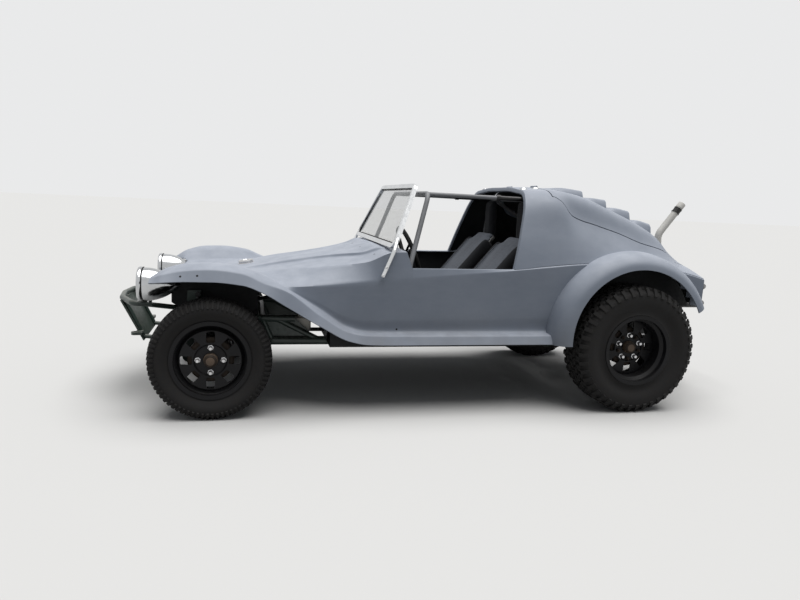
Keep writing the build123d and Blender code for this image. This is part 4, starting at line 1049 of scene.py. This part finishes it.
def mirrored(obj, name):
    """The piece on the car's other side."""
    copy = linked(name, obj.data.copy())
    flip_side(copy)
    copy.data.flip_normals()
    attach(copy, "chassis")
    if "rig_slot" in obj:
        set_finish(copy, obj["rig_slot"])
    return copy


def surface(obj):
    """Tree that rays can be cast on."""
    return BVHTree.FromPolygons([v.co for v in obj.data.vertices], [p.vertices[:] for p in obj.data.polygons])


def seat_place(along, out, y):
    """Point up the seat's back, out from it and across from its middle."""
    return Vector((behind(-1026) - along * sin(RECLINE) + out * cos(RECLINE), SEAT_Y + y,
                   0.470 + along * cos(RECLINE) + out * sin(RECLINE)))


BACK_UP = Vector((-sin(RECLINE), 0, cos(RECLINE)))
BACK_OUT = Vector((cos(RECLINE), 0, sin(RECLINE)))
BASE_WAY = (1, 0, 0.096)
SIDE_PAD_Y = 0.164
work = bmesh.new()
slab(work, seat_place(0.340, -0.028, 0), BACK_UP, (0.305, 0.148, 0.034), 0.026, 0.008)
slab(work, seat_place(0.650, -0.026, 0), BACK_UP, (0.030, 0.125, 0.028), 0.025)
for side in SIDES:
    slab(work, seat_place(0.325, -0.022, side * SIDE_PAD_Y), BACK_UP, (0.290, 0.025, 0.044), 0.0235)
    slab(work, (0.190, SEAT_Y + side * SIDE_PAD_Y, 0.476), BASE_WAY, (0.190, 0.025, 0.042), 0.0235)
slab(work, (0.185, SEAT_Y, 0.468), BASE_WAY, (0.200, 0.148, 0.034), 0.028, 0.008)
slab(work, (0.378, SEAT_Y, 0.472), BASE_WAY, (0.022, 0.170, 0.034), 0.020)
cover = from_work("seat_left_cover", work)
stuffed(cover, 0.0085, 4.0, 0.014)
finish_piece(cover, seat_cloth, slot="seat_cloth", smooth=70.0)
cover.data.materials.append(seat_face_painted_light)
# Centre-panel faces that turn forward or up take the lighter cloth: painted light on the seat's lit face.
for polygon in cover.data.polygons:
    middle = polygon.center
    if abs(middle.y - SEAT_Y) < 0.143 and (polygon.normal.dot(BACK_OUT) > 0.25 or polygon.normal.z > 0.5):
        polygon.material_index = 1
pleated = []
for vert in cover.data.vertices:
    facing = vert.normal.copy()
    along = (vert.co - seat_place(0, 0, 0)).dot(BACK_UP)
    across = vert.co.y - SEAT_Y
    if abs(across) > 0.135 or (facing.dot(BACK_OUT) < 0.5 and facing.z < 0.6):
        continue
    nearest = min(abs(across - k * 0.045) for k in (-2, -1, 0, 1, 2))
    depth = max(0.0, 1 - nearest / 0.007)
    if 0.07 < along < 0.60 or (vert.co.x > 0.06 and facing.z > 0.6 and vert.co.x < 0.36):
        pleated.append((vert, vert.co - facing * 0.0018 * depth ** 0.7))
for vert, place in pleated:
    vert.co = place

work = bmesh.new()
slab(work, (-0.504, SEAT_Y, 1.066), (0, 0, 1), (0.134, 0.066, 0.0225), 0.020)
headrest = from_work("headrest_left_cover", work)
stuffed(headrest, 0.007, 2.5, 0.006)
finish_piece(headrest, seat_cloth, slot="seat_cloth", smooth=70.0)
cover_tree = surface(cover)


def piping_along(name, starts, way):
    """Piping where rays in one direction meet the cover."""
    hits = [cover_tree.ray_cast(start, way)[0] for start in starts]
    return bar(name, [hit - way * 0.0005 for hit in hits if hit], 0.0032, seat_face_painted_light, "seat_cloth", sides=8)


# The piping takes the lighter face cloth: a painted highlight along the edges of the centre panel.
pipes = []
for side in SIDES:
    y = side * 0.147
    pipes.append(piping_along(f"piping_back_{side}",
                              [seat_place(0.06 + 0.56 * k / 14, 0.12, y) for k in range(15)], -BACK_OUT))
    pipes.append(piping_along(f"piping_base_{side}",
                              [Vector((0.06 + 0.31 * k / 11, SEAT_Y + y, 0.62)) for k in range(12)], DOWN))
piping = joined("seat_left_piping", pipes)

verts = []
for i in range(25):
    along = 0.015 + 0.655 * i / 24
    half = 0.191 - 0.050 * smooth((along - 0.52) / 0.15)
    for j in range(17):
        v = 2 * j / 16 - 1
        verts.append(seat_place(along, -0.064 + 0.040 * abs(v) ** 5, v * half))
shell_back = make("seat_left_shell", verts, grid_faces(25, 17), satin_black, slot="dash_board", smooth=None)
walled(shell_back, 0.005)
verts = []
tub = section(pairs(-192, 500, -192, 440, -165, 408, 0, 402, 165, 408, 192, 440, 192, 500), set(), 4)
for i in range(13):
    x = -0.080 + 0.474 * i / 12
    verts += [(x, SEAT_Y + p.x, p.y + 0.012 * smooth((x - 0.3) / 0.1)) for p in tub]
shell_tub = make("seat_left_tub", verts, grid_faces(13, len(tub)), satin_black, smooth=None)
walled(shell_tub, 0.005)
metalwork = []
for side in SIDES:
    y = SEAT_Y + side * 0.130
    metalwork.append(bar(f"rail_{side}", [(-0.060, y, 0.392), (0.380, y, 0.392)], 0.011, dark_steel))
    for x in (-0.045, 0.365):
        metalwork.append(bar(f"foot_{side}_{x}", [(x, y, 0.3745), (x, y, 0.392)], 0.016, dark_steel))
    metalwork.append(turned(f"pivot_{side}", pairs(0, 0, 30, 0, 30, 4, 12, 6, 12, 12, 0, 12),
                            (-0.040, SEAT_Y + side * 0.1925, 0.470), (0, side, 0), dark_steel, steps=32))
seat_metal = joined("seat_left_metal", metalwork)
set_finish(seat_metal, "lever_steel")
shell = joined("seat_left_shell", [shell_back, shell_tub])
smoothed(shell, 40)
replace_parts(cover, "seat_left")
cover_right = mirrored(cover, "seat_right_cover")
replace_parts(cover_right, "seat_right")
headrest_right = mirrored(headrest, "headrest_right_cover")
mirrored(piping, "seat_right_piping")
mirrored(seat_metal, "seat_right_metal")
mirrored(shell, "seat_right_shell")


# Small fittings
def spot(name, tree, start, way, profile, mat, steps):
    """Small turned piece set square on a surface where a ray meets it."""
    hit, normal, _, _ = tree.ray_cast(Vector(start), Vector(way))
    if normal.dot(Vector(way)) > 0:
        normal = -normal
    return turned(name, profile, hit, normal, mat, steps=steps)


body_tree = surface(body_skin)
top_tree = surface(hardtop)
# Black discs stand in for holes in the body: painted shade inside each hole.
hole = pairs(0, 0.6, 4.5, 0.6, 5.5, 0, 5.5, -3, 0, -3)
roof_knob = pairs(0, 10, 12, 10, 16, 7, 22, 3, 24, 0, 24, -4, 0, -4)
hole_shades = []
knobs = []
for side in SIDES:
    for x, y in ((0.499, 0.151), (0.473, 0.496)):
        hole_shades.append(spot(f"hole_{side}_{x}", body_tree, (x, side * y, 1.1), DOWN, hole, seal_black, 16))
    for x, z in ((1.491, 0.752), (1.410, 0.757), (0.359, 0.470)):
        hole_shades.append(spot(f"hole_{side}_{x}", body_tree, (x, side * 0.9, z), (0, -side, 0), hole, seal_black,
                          16))
    for x, y in ((-0.466, 0.335), (-0.560, 0.300)):
        knobs.append(spot(f"knob_{side}_{x}", top_tree, (x, side * y, 1.5), DOWN, roof_knob, chrome, 32))
joined("body_hole_shades", hole_shades)
joined("roof_fittings", knobs)
cap_axis = Vector((0.16, 0, 1)).normalized()
filler = turned("filler_cap", pairs(0, 17.5, 20, 17.5, 24, 20.5, 36, 20.5, 43.5, 17, 45, 11, 43.5, 8, 43.5, 4,
                                    49, 3, 50, 0, 50, -5, 0, -5),
                Vector((ahead(-170), 0, 0.7543)) + cap_axis * 0.001, cap_axis, plated, slot="cap_chrome",
                steps=64)
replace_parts(filler, "fuel_cap")

# Headlamp rims, gaskets, reflectors and domed lenses
rim = pairs(83.5, 4, 87.5, 5.5, 92.5, 2, 95, -6, 94, -14, 90.5, -18, 89.5, -10, 86, 0.5, 83.5, 0.5)
gasket = pairs(90, -18.5, 93.5, -18.5, 93.5, -22.5, 90, -22.5)
bowl = pairs(79.5, -12, 80, -12, 74, -22, 60, -31, 35, -37.5, 0, -39, 0, -38.2, 35, -36.5, 59, -30.2,
             73.2, -21.5)
LENS_R = 0.0832
LENS_RINGS = 14
LENS_AROUND = 72
rims, gaskets, bowls, lenses = [], [], [], []
for side in SIDES:
    place = (LAMP_X, side * LAMP_Y, LAMP_Z)
    rims.append(turned(f"rim_{side}", rim, place, (1, 0, 0), chrome, steps=64))
    rims.append(turned(f"screw_{side}", pairs(0, 3, 3, 3, 4, 0, 4, -6, 0, -6),
                       (LAMP_X - 0.004, side * LAMP_Y, LAMP_Z - 0.0945), (0, 0, -1), plated, steps=12))
    gaskets.append(turned(f"gasket_{side}", gasket, place, (1, 0, 0), seal_black, steps=64))
    bowls.append(turned(f"bowl_{side}", bowl, place, (1, 0, 0), chrome))
    verts = []
    for i in range(LENS_RINGS + 1):
        r = LENS_R * i / LENS_RINGS
        for k in range(LENS_AROUND):
            angle = 2 * pi * k / LENS_AROUND
            y = cos(angle) * r
            flute = 0.0005 * cos(y / 0.0045 * pi) * smooth((0.076 - r) / 0.01)
            verts.append((LAMP_X + 0.0075 * (1 - (r / LENS_R) ** 2) - 0.0005 + flute, side * LAMP_Y + y,
                          LAMP_Z + sin(angle) * r))
    lenses.append(make(f"lens_{side}", verts, grid_faces(LENS_RINGS + 1, LENS_AROUND, closed=True),
                       lamp_glass, slot="lamp_glass", smooth=60.0))
joined("lamp_rims", rims)
joined("lamp_gaskets", gaskets)
joined("lamp_bowls", bowls)
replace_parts(joined("lamp_lenses", lenses), "headlamp_lenses")

# Stinger clamp and tip
pipe_end = Vector((behind(768), 0, 1.242))
pipe_way = Vector((behind(768) - behind(600), 0, 0.222)).normalized()
turned("stinger_clamp", pairs(24.3, 0, 28.5, 0, 28.5, 4, 26.5, 6, 26.5, 32, 28.5, 34, 28.5, 38, 24.3, 38),
       pipe_end - pipe_way * 0.082, pipe_way, satin_black)
turned("stinger_tip", pairs(24.3, -38, 25.8, -36, 26.2, -2, 25, 1.5, 21.5, 1.5, 20, 0.5, 24.3, 0.3),
       pipe_end, pipe_way, pipe_white, slot="exhaust_paint")
turned("stinger_mouth", pairs(0, 1.2, 20.2, 1.2, 20.2, 0.2, 0, 0.2), pipe_end, pipe_way, seal_black, steps=40)

# Cage rail sleeves and clamps
sleeves = []
for side in SIDES:
    front = Vector((ahead(-1185), side * 0.412, 1.220))
    rear = Vector((behind(-505), side * 0.398, 1.215))
    on_rail = front.lerp(rear, (-0.273 - front.x) / (rear.x - front.x))
    way = (rear - front).normalized()
    length = (rear - on_rail).length - 0.016
    end = length * 1000
    sleeves.append(turned(f"sleeve_{side}", pairs(12.1, 0, 13.2, 2, 13.2, end, 12.1, end), on_rail, way,
                          satin_black, steps=24))
    sleeves.append(turned(f"clamp_{side}", pairs(12.1, -4, 16.5, -4, 17.5, 0, 17.5, 18, 16.5, 22, 12.1, 22),
                          on_rail, way, satin_black, steps=32))
joined("rail_sleeves", sleeves)

# Windshield rubber and leg bolts
bar("screen_rubber", [(0.383, 0.585, 0.940), (0.383, -0.585, 0.940), (0.2485, -0.462, 1.243),
                      (0.2485, 0.462, 1.243), (0.383, 0.585, 0.940)], 0.0055, seal_black, sides=10)
leg_bolt = pairs(0, 6, 5.5, 6, 6.5, 5, 6.5, 1, 9, 1, 9, -2, 0, -2)
leg_tree = surface(nodes["windshield_frame"])
bolts = [spot(f"leg_bolt_{side}_{z}", leg_tree, (x, side * 0.9, z), (0, -side, 0), leg_bolt, plated, 6)
         for side in SIDES for x, z in ((0.453, 0.770), (0.437, 0.815))]
joined("leg_bolts", bolts)


# Engine: flat four with finned cylinders, fan shroud, generator and belt
def block(name, parts, mat, slot=None):
    """Rounded blocks as one piece: each centre, half sizes along x, y and z, and edge radius."""
    work = bmesh.new()
    for centre, half, radius in parts:
        slab(work, centre, (0, 0, 1), (half[2], half[1], half[0]), radius, cuts=5)
    return finish_piece(from_work(name, work), mat, slot=slot)


case = block("engine_case", [((-1.438, 0, 0.395), (0.215, 0.150, 0.118), 0.035),
                             ((-1.438, 0, 0.300), (0.190, 0.110, 0.024), 0.012),
                             ((-1.300, 0, 0.500), (0.060, 0.060, 0.040), 0.02)], cast_alloy, "engine_alloy")
block("case_ribs", [((-1.590 + 0.038 * k, 0, 0.280), (0.003, 0.105, 0.010), 0.0025) for k in range(9)],
      cast_alloy)
barrel = pairs(0, 0, 50, 0)
for k in range(15):
    fin = 6 + 9.6 * k
    barrel += pairs(50, fin, 66.5, fin + 0.6, 66.5, fin + 2.4, 50, fin + 3.6)
barrel += pairs(50, 152, 0, 152)
barrels = [turned(f"barrel_{side}_{x}", barrel, (x, side * 0.149, 0.400), (0, side, 0), dark_steel, steps=40)
           for side in SIDES for x in (-1.375, -1.515)]
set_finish(joined("cylinders", barrels), "engine_alloy")
HEAD_X = -1.445
heads, covers, tins, wires = [], [], [], []
for side in SIDES:
    heads += [((HEAD_X, side * (0.304 + 0.0085 * k), 0.400), (0.140, 0.0028, 0.072 - 0.002 * k), 0.0026)
              for k in range(6)]
    heads.append(((HEAD_X, side * 0.322, 0.400), (0.130, 0.024, 0.058), 0.008))
    covers += [((HEAD_X, side * 0.360, 0.385), (0.128, 0.018, 0.046), 0.014),
               ((HEAD_X, side * 0.349, 0.385), (0.136, 0.003, 0.053), 0.0028)]
    tins += [((HEAD_X, side * 0.250, 0.478), (0.150, 0.105, 0.0035), 0.0030),
             ((HEAD_X, side * 0.353, 0.462), (0.150, 0.0030, 0.018), 0.0028)]
block("cylinder_heads", heads, cast_alloy, "engine_alloy")
block("valve_covers", covers, satin_black)
block("engine_tins", tins, satin_black)
for side in SIDES:
    wires.append(bar(f"bail_{side}", [(-1.570, side * 0.352, 0.370), (-1.570, side * 0.379, 0.382),
                                      (-1.320, side * 0.379, 0.382), (-1.320, side * 0.352, 0.370)],
                     0.0022, plated, sides=8, bend=0.012))
joined("cover_bails", wires)

shroud_line = section(pairs(-285, 484, -287, 560, -268, 640, -190, 728, -90, 755, 90, 755, 190, 728,
                            268, 640, 287, 560, 285, 484), {9}, 6)
levels = [(-1.5300, 0.90), (-1.5312, 0.965), (-1.5290, 0.990), (-1.5220, 1.0), (-1.4580, 1.0),
          (-1.4560, 0.985), (-1.4540, 1.0), (-1.3940, 1.0), (-1.3870, 0.990), (-1.3850, 0.965),
          (-1.3860, 0.90)]
verts = []
for x, grow in levels:
    for p in shroud_line:
        verts.append((x, p.x * grow, 0.484 + (p.y - 0.484) * grow))
faces = grid_faces(len(levels), len(shroud_line))
count = len(shroud_line)
faces.append(tuple(range(count)))
faces.append(tuple((len(levels) - 1) * count + k for k in range(count)))
shroud = make("fan_shroud", verts, faces, satin_black, smooth=50.0)
generator = turned("generator", pairs(0, 0, 46, 0, 49, 4, 49, 16, 46, 18, 46, 84, 49, 86, 49, 100, 40, 106,
                                      0, 106),
                   (-1.5305, 0.0, 0.650), (-1, 0, 0), satin_black)
joined("shroud_and_generator", [shroud, generator])
TOP_R, TOP_Z = 0.0515, 0.650
LOW_R, LOW_Z = 0.0815, 0.370
pulley = pairs(0, 0, 26, 0, 28, 4, 60, 5, 62, 7, 52, 12, 62, 17, 60, 19, 30, 20, 20, 26, 0, 26)
pulleys = [turned(name, [(r * size, a) for r, a in pulley], (-1.6365, 0, z), (-1, 0, 0), plated, steps=steps)
           for name, size, z, steps in (("small_pulley", 0.86, TOP_Z, 48), ("crank_pulley", 1.36, LOW_Z, 64))]
pulleys.append(turned("crank_nut", pairs(0, 0, 17, 0, 17, 14, 0, 14), (-1.6600, 0, LOW_Z), (-1, 0, 0),
                      dark_steel, steps=6, smooth=None))
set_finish(joined("pulleys", pulleys), "engine_alloy")
verts = []
for start, radius, middle in ((0, TOP_R, TOP_Z), (180, LOW_R, LOW_Z)):
    for k in range(25):
        angle = radians(start + 180 * k / 24)
        for grow, x in ((0.0, -1.6450), (0.007, -1.6435), (0.007, -1.6545), (0.0, -1.6530)):
            verts.append((x, cos(angle) * (radius + grow), middle + sin(angle) * (radius + grow)))
make("fan_belt", verts, ring_faces(50, 4), seal_black, smooth=50.0)
turned("air_cleaner", pairs(0, 0, 60, 0, 66, 4, 66, 10, 62, 12)
       + [(0.062 - 0.0015 * (k % 2), 0.012 + 0.003 * k) for k in range(13)]
       + pairs(66, 50, 66, 56, 60, 62, 10, 66, 8, 74, 0, 74),
       (-1.600, 0.150, 0.640), (0, 0, 1), plated, steps=56)
block("carburettor", [((-1.600, 0.150, 0.600), (0.028, 0.034, 0.040), 0.012),
                      ((-1.600, 0.150, 0.560), (0.036, 0.040, 0.006), 0.003)], cast_alloy)
bar("intake", [(-1.600, 0.150, 0.562), (-1.600, 0.150, 0.500), (-1.580, 0.310, 0.492),
               (-1.500, 0.320, 0.470)], 0.017, cast_alloy, bend=0.05)
leads = []
for k in range(4):
    side = 1 if k % 2 else -1
    route = [(-1.560, -0.110 + 0.012 * k, 0.575), (-1.575, -0.100 + side * 0.05, 0.600 + 0.01 * k),
             (-1.560, side * 0.255, 0.545), (-1.375 if k < 2 else -1.515, side * 0.270, 0.475)]
    leads.append(bar(f"lead_{k}", route, 0.0035, seal_black, sides=8, bend=0.06))
leads.append(turned("distributor", pairs(0, -60, 20, -60, 22, 0, 30, 4, 30, 24, 22, 36, 0, 36),
                    (-1.565, -0.095, 0.555), (0, 0, 1), seal_black, steps=32))
joined("ignition_leads", leads)
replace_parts(case, "engine")

# Exhaust clamps
band = pairs(21.2, -8, 23.8, -7, 23.8, 7, 21.2, 8)
bands = [turned(f"band_{side}_{y}", band, (behind(700), side * y, 0.392 - 0.0983 * y / 0.250),
                (0, side * 0.25, -0.0983), dark_steel, steps=32)
         for side in SIDES for y in (0.120, 0.235)]
joined("exhaust_bands", bands)

# Tail lamp housings and lens rims
TAIL_Z = 0.632
housings, rims = [], []
for side in SIDES:
    place = (behind(700), side * 0.275, TAIL_Z)
    for name, profile in (("housing", pairs(38.1, -1, 40.2, 0, 40.2, 26, 38.1, 26)),
                          ("lamp_back", pairs(0, -2.2, 36, -2.2, 39, -0.5, 39, 1, 0, 1))):
        housings.append(turned(f"{name}_{side}", profile, place, (-1, 0, 0), satin_black))
    x = behind(704)
    housings.append(bar(f"lamp_arm_{side}", [(x, side * 0.306, TAIL_Z), (x, side * 0.330, TAIL_Z)], 0.0070,
                        satin_black))
    housings.append(bar(f"lamp_post_{side}", [(x, side * 0.332, 0.5955), (x, side * 0.332, 0.6695)], 0.0088,
                        satin_black, sides=16))
    rims.append(turned(f"lens_rim_{side}", pairs(36, 45.6, 38.1, 46.2, 40.8, 44, 40.8, 34, 38.4, 30,
                                                 38.1, 34), place, (-1, 0, 0), chrome))
joined("tail_housings", housings)
joined("tail_rims", rims)

# Gauges, switches, horn button and pedals
DASH_X = 0.3228
dials, bezels, marks = [], [], []
for y, z, r in ((0.290, 0.832, 0.050), (0.180, 0.838, 0.026), (0.400, 0.838, 0.026), (0.110, 0.838, 0.026)):
    place = (DASH_X, y, z)
    dials.append(turned(f"dial_{y}", [(0, 0.001), (r, 0.001), (r, 0.003), (0, 0.003)], place, (-1, 0, 0),
                        seal_black, steps=40))
    bezels.append(turned(f"bezel_{y}", [(r - 0.002, 0.002), (r - 0.001, 0.007), (r + 0.003, 0.008),
                                        (r + 0.005, 0.005), (r + 0.005, 0.0), (r - 0.002, 0.0)],
                         place, (-1, 0, 0), chrome, steps=40))
    for k in range(9):
        angle = radians(-40 + 260 * k / 8)
        ends = [(0.3196, y + cos(angle) * reach, z + sin(angle) * reach) for reach in (r * 0.74, r * 0.88)]
        marks.append(bar(f"tick_{y}_{k}", ends, 0.0007, pipe_white, sides=6))
    marks.append(bar(f"needle_{y}", [(0.3192, y, z), (0.3192, y + r * 0.5, z - r * 0.4)], 0.0010, pipe_white,
                     sides=6))
for k in range(5):
    place = (DASH_X, 0.040 - 0.035 * k, 0.800)
    bezels.append(turned(f"switch_{k}", pairs(0, 4, 4, 4, 2.8, 18, 3.5, 22, 0, 23), place, (-1, 0, 0.25),
                         chrome, steps=16))
    bezels.append(turned(f"switch_nut_{k}", pairs(0, 0, 8, 0, 8, 4, 0, 4), place, (-1, 0, 0), plated, steps=6,
                         smooth=None))
joined("dials", dials)
joined("dial_bezels", bezels)
joined("dial_marks", marks)
wheel_axis = Vector((-0.927184, 0, 0.374607))
turned("horn_button", pairs(0, 15.5, 14, 15, 24, 11, 27.5, 4, 27.5, -4, 0, -4),
       Vector((0.222, 0.290, 0.860)) + wheel_axis * 0.012, wheel_axis, seal_black, "steering_wheel",
       "wheel_trim", steps=40)
PEDAL_UP = (0.35, 0, 1)
pedals = []
for y, width, x in ((0.185, 0.026, 0.630), (0.270, 0.030, 0.625), (0.360, 0.020, 0.640)):
    pedals.append(bar(f"arm_{y}", [(x + 0.040, y, 0.3765), (x + 0.034, y, 0.430), (x, y, 0.520)], 0.008,
                      dark_steel, bend=0.03))
    work = bmesh.new()
    slab(work, (x - 0.005, y, 0.535), PEDAL_UP, (0.036, width, 0.006), 0.005, cuts=5)
    for k in range(-2, 3):
        slab(work, (x - 0.012 + 0.0035 * k, y, 0.535 + 0.013 * k), PEDAL_UP, (0.003, width * 0.9, 0.003),
             0.0025, cuts=3)
    pedals.append(finish_piece(from_work(f"pad_{y}", work), dark_steel))
joined("pedals", pedals)

# Camera, from the fitted view of the photograph
SENSOR = 36
FOCAL_PIXELS = 647.5
PICTURE_WIDTH = 800
yaw = radians(-13.178)
pitch = radians(8.667)
roll = radians(2.6076)
right = Vector((-cos(yaw), -sin(yaw), 0))
level = Vector((sin(yaw), -cos(yaw), 0))
up = Vector((0, 0, 1))
forward = level * cos(pitch) - up * sin(pitch)
upward = up * cos(pitch) + level * sin(pitch)
right, upward = right * cos(roll) + upward * sin(roll), upward * cos(roll) - right * sin(roll)
camera_data = bpy.data.cameras.new("camera")
camera_data.lens = FOCAL_PIXELS / PICTURE_WIDTH * SENSOR
camera_data.sensor_width = SENSOR
camera_data.clip_end = 200
camera = linked("camera", camera_data)
camera.matrix_world = (Matrix.Translation(Vector((1.1503, 4.0770, 1.1716)))
                       @ Matrix((right, upward, -forward)).transposed().to_4x4())
scene.camera = camera


# Floor, world and sky light
def seen_directly(tree):
    """1 for camera, glossy and transmission rays."""
    path = tree.nodes.new("ShaderNodeLightPath")
    total = path.outputs["Is Camera Ray"]
    for name in ("Is Glossy Ray", "Is Transmission Ray"):
        total = add(tree, "Math", "Value", {0: total, 1: path.outputs[name]}, operation="MAXIMUM")
    return total


floor_mat, tree, bsdf = material("floor")
connect(tree, bsdf, {
    "Base Color": mixed(tree, seen_directly(tree), (0.30, 0.30, 0.295), (0.62, 0.62, 0.615)),
    "Roughness": 0.95, "Specular IOR Level": 0.0})
FLOOR = 90
floor = make("floor", [(-FLOOR, -FLOOR, 0), (FLOOR, -FLOOR, 0), (FLOOR, FLOOR, 0), (-FLOOR, FLOOR, 0)],
             [(0, 1, 2, 3)], floor_mat, smooth=None)
world = bpy.data.worlds.new("world")
scene.world = world
world.use_nodes = True
tree = world.node_tree
background = tree.nodes["Background"]
connect(tree, background, {"Color": (0.93, 0.96, 1.0, 1), "Strength": 0.22})
seen = add(tree, "Background", "Background", {"Color": (0.95, 0.955, 0.96, 1), "Strength": 0.86})
mix = add(tree, "MixShader", "Shader",
          {"Fac": seen_directly(tree), 1: background.outputs["Background"], 2: seen})
tree.links.new(mix, tree.nodes["World Output"].inputs["Surface"])

sun_data = bpy.data.lights.new("sky_light", "SUN")
sun_data.energy = 3.45
sun_data.angle = radians(60)
sun_data.color = (1.0, 0.99, 0.975)
sun = linked("sky_light", sun_data)
sun.rotation_euler = (radians(-4), radians(-5), 0)
sun.location = (0, 0, 6)
scene.view_settings.view_transform = "Standard"
